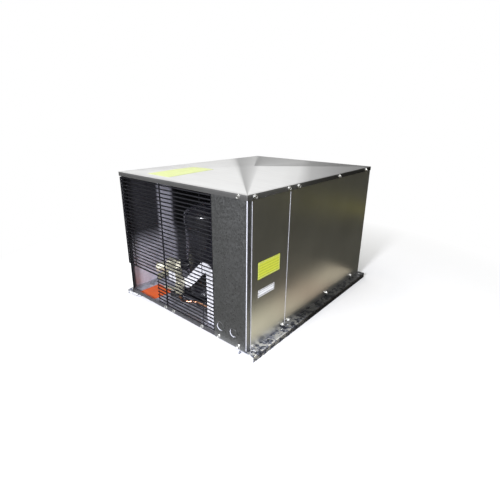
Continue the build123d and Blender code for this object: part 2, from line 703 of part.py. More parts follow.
bar_bottom = PAN_LIP_TOP - BAR_TUCK
bar_top = TOP_Z - COVER_LIP + BAR_TUCK
thin_bar_y = WIRE_Y + 2 * WIRE_RADIUS + WELD_GAP
left_bar_x = -PAN_X + SHEET + BEND_RADIUS + BAR_RADIUS
middle_bar_x = HALF_WIDTH - MIDDLE_BAR_FROM_CORNER
right_bar_x = wire_right - BAR_RADIUS
far_thin_x, near_thin_x = (HALF_WIDTH - d for d in THIN_BARS_FROM_CORNER)
above_cutout = cutout_z + BAR_RADIUS + WELD_GAP
below_cutout = cutout_z - BAR_RADIUS - WELD_GAP
cutout_bar_start = left_bar_x + BAR_RADIUS + WELD_GAP
cutout_bar_end = middle_bar_x - BAR_RADIUS - WELD_GAP
with BuildPart() as grille_frame_bars:
    for x in (left_bar_x, middle_bar_x, right_bar_x):
        thin_rod(Plane(origin=(x, BAR_Y, bar_bottom)), BAR_RADIUS, bar_top - bar_bottom)
    thin_rod(Plane(origin=(far_thin_x, thin_bar_y, above_cutout)), WIRE_RADIUS, bar_top - above_cutout)
    thin_rod(Plane(origin=(near_thin_x, thin_bar_y, bar_bottom)), WIRE_RADIUS, bar_top - bar_bottom)
    edge_wire = Plane(origin=(cutout_x + WIRE_RADIUS, thin_bar_y, bar_bottom))
    thin_rod(edge_wire, WIRE_RADIUS, below_cutout - bar_bottom)
    cutout_bar = Plane(origin=(cutout_bar_start, BAR_Y, cutout_z), z_dir=RIGHT)
    thin_rod(cutout_bar, BAR_RADIUS, cutout_bar_end - cutout_bar_start)
grille_frame_bars.part.label = "grille_frame_bars"
export_step(grille_frame_bars.part, "parts/grille_frame_bars.step")

# Compressor: a tall hermetic shell whose two caps lap the barrel, on a sprung foot plate
shell_base = PAN_FLOOR + GROMMET_HEIGHT + FOOT_THICKNESS
dome_radius = (CAP_RADIUS**2 + SHELL_DOME**2) / (2 * SHELL_DOME)
dome_start = math.degrees(math.asin((dome_radius - SHELL_DOME) / dome_radius))
cap_step = CAP_RADIUS - SHELL_RADIUS
valve_cos = math.cos(math.radians(VALVE_ANGLE))
valve_sin = math.sin(math.radians(VALVE_ANGLE))
valve_z = shell_base + VALVE_RISE
hot_cos = math.cos(math.radians(HOT_ANGLE))
hot_sin = math.sin(math.radians(HOT_ANGLE))
hot_z = shell_base + HOT_RISE
hot_reach = CAP_RADIUS + HOT_STUB
terminal_z = shell_base + TERMINAL_BOX_RISE
terminal_face_x = COMPRESSOR_X + SHELL_RADIUS + TERMINAL_COVER
suction_axis = Plane(
    origin=(COMPRESSOR_X, COMPRESSOR_Y, valve_z),
    x_dir=(-valve_sin, valve_cos, 0),
    z_dir=(valve_cos, valve_sin, 0),
)

with BuildPart() as compressor_shell:
    with BuildSketch(upright(COMPRESSOR_X, COMPRESSOR_Y, shell_base)) as shell_profile:
        with BuildLine():
            Polyline(
                (0, SHELL_HEIGHT),
                (0, 0),
                (CAP_RADIUS, 0),
                (CAP_RADIUS, LOWER_CAP_HEIGHT),
                (SHELL_RADIUS, LOWER_CAP_HEIGHT + cap_step),
                (SHELL_RADIUS, SHELL_HEIGHT - UPPER_CAP_HEIGHT - cap_step),
                (CAP_RADIUS, SHELL_HEIGHT - UPPER_CAP_HEIGHT),
                (CAP_RADIUS, SHELL_HEIGHT - SHELL_DOME),
            )
            CenterArc((0, SHELL_HEIGHT - dome_radius), dome_radius, dome_start, 90 - dome_start)
        make_face()
        shoulder_point = shell_profile.vertices().sort_by_distance((CAP_RADIUS, SHELL_HEIGHT - SHELL_DOME))[0]
        foot_point = shell_profile.vertices().sort_by_distance((CAP_RADIUS, 0))[0]
        fillet([shoulder_point, foot_point], SHELL_FOOT_ROUND)
    revolve(axis=Axis((COMPRESSOR_X, COMPRESSOR_Y, 0), (0, 0, 1)))
    rod(suction_axis, STUB_RADIUS, STUB_REACH)
    hot_axis = Plane(origin=(COMPRESSOR_X, COMPRESSOR_Y, hot_z), z_dir=(hot_cos, hot_sin, 0))
    rod(hot_axis, HOT_TUBE_RADIUS + CUP_WALL, hot_reach)
    fence = Plane(origin=(COMPRESSOR_X, COMPRESSOR_Y, terminal_z), z_dir=RIGHT)
    rod(fence, TERMINAL_BOX_WIDTH / 2 - TERMINAL_COVER, SHELL_RADIUS + TERMINAL_COVER)
compressor_shell.part.label = "compressor_shell"
export_step(compressor_shell.part, "parts/compressor_shell.step")

with BuildPart() as compressor_foot_plate:
    plate_z = PAN_FLOOR + GROMMET_HEIGHT
    with BuildSketch(Plane(origin=(COMPRESSOR_X, COMPRESSOR_Y, plate_z))):
        RectangleRounded(FOOT_PLATE, FOOT_PLATE, FOOT_CORNER)
        with PolarLocations(FOOT_PLATE / 2 + CAP_RADIUS / 2, 4):
            Circle(CAP_RADIUS * 3 / 4, mode=Mode.SUBTRACT)
        with GridLocations(FOOT_SPACING, FOOT_SPACING, 2, 2):
            Circle(GROMMET_NECK + SEAT_GAP, mode=Mode.SUBTRACT)
    extrude(amount=FOOT_THICKNESS)
compressor_foot_plate.part.label = "compressor_foot_plate"
export_step(compressor_foot_plate.part, "parts/compressor_foot_plate.step")

# Rubber grommets under and through the foot plate, and the bolts that hold them down
grommet_bore = FOOT_BOLT_RADIUS + FOOT_BOLT_GAP
grommet_top = GROMMET_HEIGHT + FOOT_THICKNESS + GROMMET_TOP
with BuildPart() as compressor_grommets:
    for x, y in foot_bolts:
        turned(
            upright(x, y, PAN_FLOOR),
            (
                (grommet_bore, 0),
                (GROMMET_RADIUS, 0),
                (GROMMET_RADIUS, GROMMET_HEIGHT),
                (GROMMET_NECK, GROMMET_HEIGHT),
                (GROMMET_NECK, GROMMET_HEIGHT + FOOT_THICKNESS),
                (FOOT_WASHER_RADIUS, GROMMET_HEIGHT + FOOT_THICKNESS),
                (FOOT_WASHER_RADIUS, grommet_top),
                (grommet_bore, grommet_top),
            ),
        )
compressor_grommets.part.label = "compressor_grommets"
export_step(compressor_grommets.part, "parts/compressor_grommets.step")

with BuildPart() as compressor_bolts:
    for x, y in foot_bolts:
        seat = Plane(origin=(x, y, PAN_FLOOR + grommet_top))
        thin_rod(seat, FOOT_WASHER_RADIUS, FOOT_WASHER)
        hex_prism(seat.offset(FOOT_WASHER), FOOT_BOLT_ACROSS, FOOT_BOLT_HEAD)
        thin_rod(seat, FOOT_BOLT_RADIUS, -(grommet_top + SHEET + 1.5 * FOOT_BOLT_HEAD))
        hex_prism(Plane(origin=(x, y, RAIL_HEIGHT)), FOOT_BOLT_ACROSS, -FOOT_BOLT_HEAD)
compressor_bolts.part.label = "compressor_bolts"
export_step(compressor_bolts.part, "parts/compressor_bolts.step")

with BuildPart() as compressor_terminal_box:
    terminal_seat = Plane(
        origin=(terminal_face_x, COMPRESSOR_Y, terminal_z), x_dir=(0, 1, 0), z_dir=RIGHT
    )
    with BuildSketch(terminal_seat):
        RectangleRounded(TERMINAL_BOX_WIDTH, TERMINAL_BOX_HEIGHT, TERMINAL_COVER)
    extrude(amount=TERMINAL_BOX_DEPTH - TERMINAL_COVER)
    with BuildSketch(terminal_seat.offset(TERMINAL_BOX_DEPTH - TERMINAL_COVER)):
        RectangleRounded(
            TERMINAL_BOX_WIDTH + 2 * TERMINAL_COVER_LAP,
            TERMINAL_BOX_HEIGHT + 2 * TERMINAL_COVER_LAP,
            TERMINAL_COVER,
        )
    extrude(amount=TERMINAL_COVER)
    fillet(compressor_terminal_box.faces().sort_by(Axis.X)[-1].edges(), TERMINAL_COVER_LAP)
compressor_terminal_box.part.label = "compressor_terminal_box"
export_step(compressor_terminal_box.part, "parts/compressor_terminal_box.step")


def valve_stem(base, radius, square):
    """A stem that stands in its gland and ends in a square for the key; `base` is the neck's end."""
    rod(base.offset(-STEM_DEPTH), radius, STEM_DEPTH + STEM_REACH / 3)
    with BuildSketch(base.offset(STEM_REACH / 3)) as key:
        Rectangle(square, square)
    extrude(key.sketch, amount=STEM_REACH * 2 / 3)


def valve_cap(seat, across, bore):
    """A hexagonal seal cap, hollow from its seat."""
    hex_prism(seat, across, CAP_LENGTH)
    with BuildSketch(seat) as hollow:
        Circle(bore)
    extrude(hollow.sketch, amount=CAP_LENGTH - CAP_WALL, mode=Mode.SUBTRACT)


# Suction service valve on the compressor, with the field tube pointing out to the cut-out
block_start = STUB_REACH + VALVE_NUT
gland_start = block_start + VALVE_BLOCK
suction_seat = suction_axis.offset(gland_start + GLAND_LENGTH)
block_middle = block_start + VALVE_BLOCK / 2
block_x = COMPRESSOR_X + block_middle * valve_cos
block_y = COMPRESSOR_Y + block_middle * valve_sin
suction_tube_z = valve_z - SUCTION_TUBE_DROP
suction_neck = CAP_BORE - NECK_GAP
with BuildPart() as suction_valve_body:
    hex_prism(suction_axis.offset(STUB_REACH), VALVE_NUT_ACROSS, VALVE_NUT)
    with BuildSketch(suction_axis.offset(block_start)):
        RectangleRounded(VALVE_BLOCK, VALVE_BLOCK_HEIGHT, GLAND_LENGTH / 2)
    extrude(amount=VALVE_BLOCK)
    rod(suction_axis.offset(gland_start), GLAND_RADIUS, GLAND_LENGTH)
    rod(suction_seat, suction_neck, NECK_LENGTH)
    tube_start = Plane(origin=(block_x, block_y, suction_tube_z), z_dir=FRONT)
    tube_run = block_y - SUCTION_TUBE_END_Y
    rod(tube_start, SUCTION_CUP_BORE + SUCTION_CUP_WALL, tube_run)
    with BuildSketch(tube_start.offset(tube_run)):
        Circle(SUCTION_CUP_BORE)
    extrude(amount=-(tube_run - VALVE_BLOCK / 2), mode=Mode.SUBTRACT)
    with BuildSketch(suction_seat.offset(NECK_LENGTH)):
        Circle(STEM_RADIUS + STEM_GAP)
    extrude(amount=-(STEM_DEPTH + NECK_LENGTH), mode=Mode.SUBTRACT)
suction_valve_body.part.label = "suction_valve_body"
export_step(suction_valve_body.part, "parts/suction_valve_body.step")

with BuildPart() as suction_valve_stem:
    valve_stem(suction_seat.offset(NECK_LENGTH), STEM_RADIUS, STEM_SQUARE)
suction_valve_stem.part.label = "suction_valve_stem"
export_step(suction_valve_stem.part, "parts/suction_valve_stem.step")

with BuildPart() as suction_valve_cap:
    valve_cap(suction_seat.offset(CAP_SEAT_GAP), CAP_ACROSS, CAP_BORE)
suction_valve_cap.part.label = "suction_valve_cap"
export_step(suction_valve_cap.part, "parts/suction_valve_cap.step")

# Liquid service valve, upright in front of its bracket
liquid_axis = Plane(origin=(LIQUID_VALVE_X, LIQUID_VALVE_Y, LIQUID_VALVE_BOTTOM))
liquid_body_height = LIQUID_VALVE_TOP - LIQUID_VALVE_BOTTOM
liquid_seat = liquid_axis.offset(liquid_body_height)
liquid_neck = SMALL_CAP_BORE - NECK_GAP
liquid_outlet_z = LIQUID_VALVE_BOTTOM + LIQUID_OUTLET_RISE
outlet_turn = math.radians(LIQUID_OUTLET_TURN)
with BuildPart() as liquid_valve_body:
    hex_prism(liquid_axis, 2 * LIQUID_VALVE_RADIUS, liquid_body_height * 2 / 3)
    rod(liquid_axis, LIQUID_VALVE_RADIUS - SPIGOT_WALL, liquid_body_height)
    rod(liquid_seat, liquid_neck, NECK_LENGTH)
    pad = Plane(origin=(LIQUID_VALVE_X, LIQUID_VALVE_Y, BRACKET_Z), x_dir=RIGHT, z_dir=REAR)
    with BuildSketch(pad):
        RectangleRounded(LIQUID_VALVE_RADIUS * 1.5, LIQUID_VALVE_RADIUS * 1.5, SPIGOT_WALL)
    extrude(amount=BRACKET_FACE_Y - LIQUID_VALVE_Y - SEAT_GAP)
    outlet = Plane(
        origin=(LIQUID_VALVE_X, LIQUID_VALVE_Y, liquid_outlet_z),
        z_dir=(-math.cos(outlet_turn), -math.sin(outlet_turn), 0),
    )
    rod(outlet, LIQUID_CUP_BORE + CUP_WALL, LIQUID_OUTLET_REACH)
    with BuildSketch(outlet.offset(LIQUID_OUTLET_REACH)):
        Circle(LIQUID_CUP_BORE)
    extrude(amount=-(LIQUID_OUTLET_REACH - LIQUID_VALVE_RADIUS), mode=Mode.SUBTRACT)
    with BuildSketch(liquid_seat.offset(NECK_LENGTH)):
        Circle(SMALL_STEM_RADIUS + STEM_GAP)
    extrude(amount=-(STEM_DEPTH + NECK_LENGTH), mode=Mode.SUBTRACT)
liquid_valve_body.part.label = "liquid_valve_body"
export_step(liquid_valve_body.part, "parts/liquid_valve_body.step")

with BuildPart() as liquid_valve_stem:
    valve_stem(liquid_seat.offset(NECK_LENGTH), SMALL_STEM_RADIUS, SMALL_STEM_SQUARE)
liquid_valve_stem.part.label = "liquid_valve_stem"
export_step(liquid_valve_stem.part, "parts/liquid_valve_stem.step")

with BuildPart() as liquid_valve_cap:
    valve_cap(liquid_seat.offset(CAP_SEAT_GAP), SMALL_CAP_ACROSS, SMALL_CAP_BORE)
liquid_valve_cap.part.label = "liquid_valve_cap"
export_step(liquid_valve_cap.part, "parts/liquid_valve_cap.step")

# Valve bracket: one folded strap that runs level, climbs to a knee and comes down to its foot
with BuildPart() as valve_bracket:
    with BuildSketch(Plane.XZ.offset(-BRACKET_FACE_Y)):
        with BuildLine():
            FilletPolyline(
                (BRACKET_LEFT_X, BRACKET_Z),
                (BRACKET_KNEE_X, BRACKET_Z),
                (BRACKET_LEG_X, BRACKET_TOP_Z),
                (BRACKET_LEG_X, PAN_FLOOR),
                radius=BRACKET_BEND,
            )
        trace(line_width=BRACKET_BAND)
    extrude(amount=-BRACKET_SHEET)
    with Locations((BRACKET_LEG_X, BRACKET_FACE_Y, PAN_FLOOR)):
        Box(BRACKET_BAND, BRACKET_FOOT, BRACKET_SHEET, align=(Align.CENTER, Align.MIN, Align.MIN))
    drill_for(bracket_screws)
valve_bracket.part.label = "valve_bracket"
export_step(valve_bracket.part, "parts/valve_bracket.step")

# Receiver: a welded tank lying across the unit behind the compressor, on two stamped saddles
with BuildPart() as receiver:
    tank_start = Plane(
        origin=(RECEIVER_X - RECEIVER_LENGTH / 2, RECEIVER_Y, receiver_z), x_dir=REAR, z_dir=(0, 0, -1)
    )
    with BuildSketch(tank_start) as tank_profile:
        with BuildLine():
            Polyline(
                (0, 0),
                (RECEIVER_RADIUS, 0),
                (RECEIVER_RADIUS, RECEIVER_LENGTH / 2),
                (RECEIVER_RADIUS + RECEIVER_SEAM, RECEIVER_LENGTH / 2),
                (RECEIVER_RADIUS + RECEIVER_SEAM, RECEIVER_LENGTH / 2 + RECEIVER_LAP),
                (RECEIVER_RADIUS, RECEIVER_LENGTH / 2 + RECEIVER_LAP),
                (RECEIVER_RADIUS, RECEIVER_LENGTH),
                (0, RECEIVER_LENGTH),
                close=True,
            )
        make_face()
        corners = [(RECEIVER_RADIUS, 0), (RECEIVER_RADIUS, RECEIVER_LENGTH)]
        fillet([tank_profile.vertices().sort_by_distance(c)[0] for c in corners], RECEIVER_DOME)
    revolve(axis=Axis(tank_start.origin, RIGHT))
    inlet = Plane(origin=(RECEIVER_X, RECEIVER_Y, receiver_z), z_dir=RIGHT)
    rod(inlet, LIQUID_TUBE_RADIUS + SPIGOT_WALL, RECEIVER_LENGTH / 2 + SPIGOT)
    outlet = Plane(origin=(RECEIVER_VALVE_X, RECEIVER_Y, receiver_z))
    rod(outlet, LIQUID_VALVE_RADIUS - SPIGOT_WALL, RECEIVER_RADIUS + SPIGOT)
receiver.part.label = "receiver"
export_step(receiver.part, "parts/receiver.step")

with BuildPart() as receiver_saddles:
    saddle_inner = RECEIVER_RADIUS + SEAT_GAP
    tank_lift = receiver_z - PAN_FLOOR
    for x in saddle_xs:
        with BuildSketch(Plane(origin=(x - SADDLE_WIDTH / 2, RECEIVER_Y, PAN_FLOOR), x_dir=REAR, z_dir=RIGHT)):
            with Locations((0, tank_lift)):
                Circle(saddle_inner + SADDLE_SHEET)
            with Locations((0, tank_lift + SADDLE_BITE)):
                Rectangle(4 * RECEIVER_RADIUS, 2 * RECEIVER_RADIUS, align=CENTRE_UP, mode=Mode.SUBTRACT)
            for side in (-1, 1):
                with Locations((side * SADDLE_LEG, 0)):
                    Rectangle(SADDLE_SHEET, tank_lift + SADDLE_BITE, align=CENTRE_UP)
                with Locations((side * (SADDLE_LEG + SADDLE_FOOT / 2), 0)):
                    Rectangle(SADDLE_FOOT, SADDLE_SHEET, align=CENTRE_UP)
            with Locations((0, tank_lift)):
                Circle(saddle_inner, mode=Mode.SUBTRACT)
        extrude(amount=SADDLE_WIDTH)
    drill_for(saddle_screws)
receiver_saddles.part.label = "receiver_saddles"
export_step(receiver_saddles.part, "parts/receiver_saddles.step")

# Shut-off valve on the receiver, whose side port starts the liquid line
receiver_valve_z = receiver_z + RECEIVER_RADIUS + SPIGOT
receiver_port_z = receiver_valve_z + LIQUID_VALVE_RADIUS
with BuildPart() as receiver_valve:
    receiver_valve_seat = Plane(origin=(RECEIVER_VALVE_X, RECEIVER_Y, receiver_valve_z))
    hex_prism(receiver_valve_seat, 2 * LIQUID_VALVE_RADIUS, 2 * LIQUID_VALVE_RADIUS)
    rod(receiver_valve_seat, LIQUID_VALVE_RADIUS - SPIGOT_WALL, 2.5 * LIQUID_VALVE_RADIUS)
    hex_prism(receiver_valve_seat.offset(2.5 * LIQUID_VALVE_RADIUS), SMALL_CAP_ACROSS, SMALL_CAP_ACROSS)
    port = Plane(origin=(RECEIVER_VALVE_X, RECEIVER_Y, receiver_port_z), z_dir=RIGHT)
    rod(port, LIQUID_TUBE_RADIUS + SPIGOT_WALL, LIQUID_VALVE_RADIUS + SPIGOT)
receiver_valve.part.label = "receiver_valve"
export_step(receiver_valve.part, "parts/receiver_valve.step")

# Liquid line from the receiver valve to the filter drier
drier_rear_y = DRIER_Y + DRIER_LENGTH / 2 + DRIER_NECK
drier_front_y = DRIER_Y - DRIER_LENGTH / 2 - DRIER_NECK
with BuildPart() as receiver_outlet_line:
    line_start_x = RECEIVER_VALVE_X + LIQUID_VALVE_RADIUS + SPIGOT
    bent_tube(
        (
            (line_start_x, RECEIVER_Y, receiver_port_z),
            (DRIER_X, RECEIVER_Y, receiver_port_z),
            (DRIER_X, drier_rear_y + 2.5 * LINE_BEND, receiver_port_z),
            (DRIER_X, drier_rear_y + 1.5 * LINE_BEND, drier_z),
            (DRIER_X, drier_rear_y, drier_z),
        ),
        LIQUID_TUBE_RADIUS,
        LINE_BEND,
    )
receiver_outlet_line.part.label = "receiver_outlet_line"
export_step(receiver_outlet_line.part, "parts/receiver_outlet_line.step")

with BuildPart() as filter_drier:
    neck = LIQUID_TUBE_RADIUS + 2 * SPIGOT_WALL
    turned(
        Plane(origin=(DRIER_X, drier_rear_y, drier_z), x_dir=RIGHT, z_dir=(0, 0, -1)),
        (
            (0, 0),
            (neck, 0),
            (neck, DRIER_NECK - SPIGOT),
            (DRIER_RADIUS / 2, DRIER_NECK),
            (DRIER_RADIUS - SPIGOT_WALL, DRIER_NECK),
            (DRIER_RADIUS, DRIER_NECK + SPIGOT),
            (DRIER_RADIUS, DRIER_NECK + DRIER_LENGTH - SPIGOT),
            (DRIER_RADIUS - SPIGOT_WALL, DRIER_NECK + DRIER_LENGTH),
            (DRIER_RADIUS / 2, DRIER_NECK + DRIER_LENGTH),
            (neck, DRIER_NECK + DRIER_LENGTH + SPIGOT),
            (neck, 2 * DRIER_NECK + DRIER_LENGTH),
            (0, 2 * DRIER_NECK + DRIER_LENGTH),
        ),
    )
filter_drier.part.label = "filter_drier"
export_step(filter_drier.part, "parts/filter_drier.step")

with BuildPart() as drier_clamp:
    with BuildSketch(Plane(origin=(DRIER_X, DRIER_Y + CLAMP_WIDTH / 2, PAN_FLOOR), x_dir=RIGHT, z_dir=FRONT)):
        with Locations((0, drier_z - PAN_FLOOR)):
            Circle(DRIER_RADIUS + SEAT_GAP + CLAMP_SHEET)
            Circle(DRIER_RADIUS + SEAT_GAP, mode=Mode.SUBTRACT)
        Rectangle(CLAMP_SHEET * 2, DRIER_LIFT - SEAT_GAP - CLAMP_SHEET / 2, align=CENTRE_UP)
        Rectangle(CLAMP_FOOT, CLAMP_SHEET, align=CENTRE_UP)
    extrude(amount=CLAMP_WIDTH)
    drill_for(clamp_screws)
drier_clamp.part.label = "drier_clamp"
export_step(drier_clamp.part, "parts/drier_clamp.step")

# Sight glass between the drier and the liquid valve
glass_middle_y = drier_front_y - GLASS_BODY_LENGTH / 2
lens_seat_z = drier_z + GLASS_BODY_ACROSS / 2 + LENS_THICKNESS
with BuildPart() as sight_glass_body:
    hex_prism(
        Plane(origin=(DRIER_X, drier_front_y, drier_z), x_dir=(0, 0, 1), z_dir=FRONT),
        GLASS_BODY_ACROSS,
        GLASS_BODY_LENGTH,
    )
    with BuildSketch(Plane(origin=(DRIER_X, glass_middle_y, drier_z))):
        Circle(LENS_RADIUS + SPIGOT_WALL)
    extrude(amount=lens_seat_z - drier_z)
    with BuildSketch(Plane(origin=(DRIER_X, glass_middle_y, lens_seat_z))):
        Circle(LENS_RADIUS + SEAT_GAP)
    extrude(amount=-LENS_THICKNESS, mode=Mode.SUBTRACT)
sight_glass_body.part.label = "sight_glass_body"
export_step(sight_glass_body.part, "parts/sight_glass_body.step")

with BuildPart() as sight_glass_lens:
    rod(Plane(origin=(DRIER_X, glass_middle_y, lens_seat_z)), LENS_RADIUS, -LENS_THICKNESS)
sight_glass_lens.part.label = "sight_glass_lens"
export_step(sight_glass_lens.part, "parts/sight_glass_lens.step")

with BuildPart() as liquid_line:
    line_y = drier_front_y - GLASS_BODY_LENGTH - LINE_BEND - LIQUID_TUBE_RADIUS
    bent_tube(
        (
            (DRIER_X, drier_front_y - GLASS_BODY_LENGTH, drier_z),
            (DRIER_X, line_y, drier_z),
            (LIQUID_VALVE_X + 3 * LINE_BEND, line_y, drier_z),
            (LIQUID_VALVE_X, LIQUID_VALVE_Y, drier_z),
            (LIQUID_VALVE_X, LIQUID_VALVE_Y, LIQUID_VALVE_BOTTOM),
        ),
        LIQUID_TUBE_RADIUS,
        LINE_BEND,
    )
liquid_line.part.label = "liquid_line"
export_step(liquid_line.part, "parts/liquid_line.step")

# Condenser coil: a fin pack between two channel-shaped tube sheets, with bends and headers outside
coil_depth = COIL_ROWS * ROW_PITCH
coil_rear_y = PAN_Y - SHEET - SHROUD_EDGE_GAP
coil_front_y = coil_rear_y - coil_depth
coil_y = (coil_rear_y + coil_front_y) / 2
fin_bottom = PAN_FLOOR + COIL_LIFT
fin_top = TOP_Z - SHEET - COIL_TOP_GAP
tubes_high = 2 * int((fin_top - fin_bottom) // (2 * TUBE_PITCH))
tube_zs = [
    (fin_top + fin_bottom) / 2 + (i - (tubes_high - 1) / 2) * TUBE_PITCH for i in range(tubes_high)
]
row_ys = [coil_y + (i - (COIL_ROWS - 1) / 2) * ROW_PITCH for i in range(COIL_ROWS)]
header_x = FIN_RIGHT_X + TUBE_SHEET_FLANGE + HEADER_RADIUS + HEADER_CLEARANCE

with BuildPart() as coil_fin_pack:
    with Locations(((FIN_LEFT_X + FIN_RIGHT_X) / 2, coil_y, fin_bottom)):
        Box(FIN_RIGHT_X - FIN_LEFT_X, coil_depth, fin_top - fin_bottom, align=BOTTOM_UP)
coil_fin_pack.part.label = "coil_fin_pack"
export_step(coil_fin_pack.part, "parts/coil_fin_pack.step")

for sheet_name, side, end_x in (
    ("left_tube_sheet", -1, FIN_LEFT_X),
    ("right_tube_sheet", 1, FIN_RIGHT_X),
):
    inner_x = end_x + side * WELD_GAP
    with BuildPart() as tube_sheet:
        folded_sheet(
            Plane.XY.offset(PAN_FLOOR),
            (
                (inner_x + side * TUBE_SHEET_FLANGE, coil_front_y),
                (inner_x, coil_front_y),
                (inner_x, coil_rear_y),
                (inner_x + side * TUBE_SHEET_FLANGE, coil_rear_y),
            ),
            fin_top - PAN_FLOOR,
            Side.LEFT if side < 0 else Side.RIGHT,
            TUBE_SHEET,
        )
    tube_sheet.part.label = sheet_name
    export_step(tube_sheet.part, f"parts/{sheet_name}.step")

outer_row_ys = (row_ys[0], row_ys[-1])
for bends_name, side, end_x, first_tube, bend_ys in (
    ("left_return_bends", -1, FIN_LEFT_X, 0, row_ys),
    ("right_return_bends", 1, FIN_RIGHT_X, 1, outer_row_ys),
):
    face_x = end_x + side * (TUBE_SHEET + 2 * WELD_GAP)
    turn_x = face_x + side * BEND_STUB
    reach_x = turn_x + side * TUBE_PITCH / 2
    cut = TUBE_PITCH / 4
    with BuildPart() as return_bends:
        for y in bend_ys:
            for low in range(first_tube, tubes_high - 1, 2):
                small_bend(
                    (
                        (face_x, y, tube_zs[low]),
                        (reach_x - side * cut, y, tube_zs[low]),
                        (reach_x, y, tube_zs[low] + cut),
                        (reach_x, y, tube_zs[low + 1] - cut),
                        (reach_x - side * cut, y, tube_zs[low + 1]),
                        (face_x, y, tube_zs[low + 1]),
                    ),
                    COIL_TUBE_RADIUS,
                )
    return_bends.part.label = bends_name
    export_step(return_bends.part, f"parts/{bends_name}.step")

header_face_y = coil_y - HEADER_RADIUS - HEADER_STUB
stub_face_x = FIN_RIGHT_X + TUBE_SHEET + 2 * WELD_GAP
with BuildPart() as coil_headers:
    for (low_z, high_z), spigot_z, stub_tubes in (
        (GAS_HEADER, hot_z, GAS_HEADER_TUBES),
        (LIQUID_HEADER, receiver_z, LIQUID_HEADER_TUBES),
    ):
        rod(Plane(origin=(header_x, coil_y, low_z)), HEADER_RADIUS, high_z - low_z)
        spigot = Plane(origin=(header_x, coil_y, spigot_z), z_dir=FRONT)
        rod(spigot, HOT_TUBE_RADIUS + CUP_WALL, HEADER_RADIUS + HEADER_STUB)
        for tube in stub_tubes:
            stub = Plane(origin=(stub_face_x, coil_y, tube_zs[tube]), z_dir=RIGHT)
            thin_rod(stub, COIL_TUBE_RADIUS, header_x - stub_face_x)
coil_headers.part.label = "coil_headers"
export_step(coil_headers.part, "parts/coil_headers.step")

# Hot-gas line from the compressor to the upper header, and the drain line back to the receiver
with BuildPart() as discharge_line:
    bent_tube(
        (
            (COMPRESSOR_X + hot_reach * hot_cos, COMPRESSOR_Y + hot_reach * hot_sin, hot_z),
            (COMPRESSOR_X + 2 * CAP_RADIUS * hot_cos, COMPRESSOR_Y + 2 * CAP_RADIUS * hot_sin, hot_z),
            (header_x, HOT_CORNER_Y, hot_z),
            (header_x, header_face_y, hot_z),
        ),
        HOT_TUBE_RADIUS,
        HOT_BEND,
    )
discharge_line.part.label = "discharge_line"
export_step(discharge_line.part, "parts/discharge_line.step")

with BuildPart() as condensate_line:
    bent_tube(
        (
            (header_x, header_face_y, receiver_z),
            (header_x, RECEIVER_Y, receiver_z),
            (RECEIVER_X + RECEIVER_LENGTH / 2 + SPIGOT, RECEIVER_Y, receiver_z),
        ),
        LIQUID_TUBE_RADIUS,
        HOT_BEND,
    )
condensate_line.part.label = "condensate_line"
export_step(condensate_line.part, "parts/condensate_line.step")

# Fan shroud: a pressed plate across the hood with a rolled orifice
shroud_half = PANEL_X - SHEET - SHROUD_EDGE_GAP - LAP_GAP - SHEET
shroud_bottom = PAN_FLOOR + SEAT_GAP
shroud_top = TOP_Z - SHEET - SHROUD_EDGE_GAP
fan_point = (0, FAN_Y, FAN_Z)
arm_angles = [90 + i * 360 / MOTOR_ARMS for i in range(MOTOR_ARMS)]
arm_bolt_reach = MOTOR_ARM_REACH + MOTOR_ARM_FOOT / 2 + BEND_RADIUS


def arm_bolt_planes(y):
    """Planes that face the grille at the feet of the motor's arms."""
    planes = []
    for angle in arm_angles:
        x = arm_bolt_reach * math.cos(math.radians(angle))
        z = FAN_Z + arm_bolt_reach * math.sin(math.radians(angle))
        planes.append(Plane(origin=(x, y, z), z_dir=FRONT))
    return planes


with BuildPart() as fan_shroud:
    with Locations((0, SHROUD_Y, shroud_bottom)):
        Box(
            2 * shroud_half,
            SHROUD_FLANGE,
            shroud_top - shroud_bottom,
            align=(Align.CENTER, Align.MIN, Align.MIN),
        )
    fillet(fan_shroud.edges().filter_by(Axis.Y), BEND_RADIUS)
    offset(amount=-SHEET, openings=fan_shroud.faces().sort_by(Axis.Y)[-1])
    with BuildSketch(Plane.XZ.offset(-SHROUD_Y)):
        with Locations((0, FAN_Z)):
            Circle(ORIFICE_RADIUS + ORIFICE_LIP)
        with Locations((header_x, hot_z), (header_x, receiver_z)):
            Circle(HOT_TUBE_RADIUS + TUBE_HOLE_GAP)
    extrude(amount=-2 * SHEET, mode=Mode.SUBTRACT)
    orifice_plane = Plane(origin=(0, SHROUD_Y, FAN_Z), x_dir=LEFT, z_dir=(0, 0, -1))
    with BuildSketch(orifice_plane):
        with BuildLine():
            FilletPolyline(
                (ORIFICE_RADIUS + 2 * ORIFICE_LIP, 0),
                (ORIFICE_RADIUS, 0),
                (ORIFICE_RADIUS, ORIFICE_DEPTH),
                radius=ORIFICE_LIP,
            )
            offset(amount=SHEET, side=Side.RIGHT)
        make_face()
    revolve(axis=Axis((0, SHROUD_Y, FAN_Z), REAR))
    small_holes(arm_bolt_planes(SHROUD_Y), RAIL_BOLT_RADIUS + SCREW_CLEARANCE, RAIL_BOLT_LENGTH)
fan_shroud.part.label = "fan_shroud"
export_step(fan_shroud.part, "parts/fan_shroud.step")

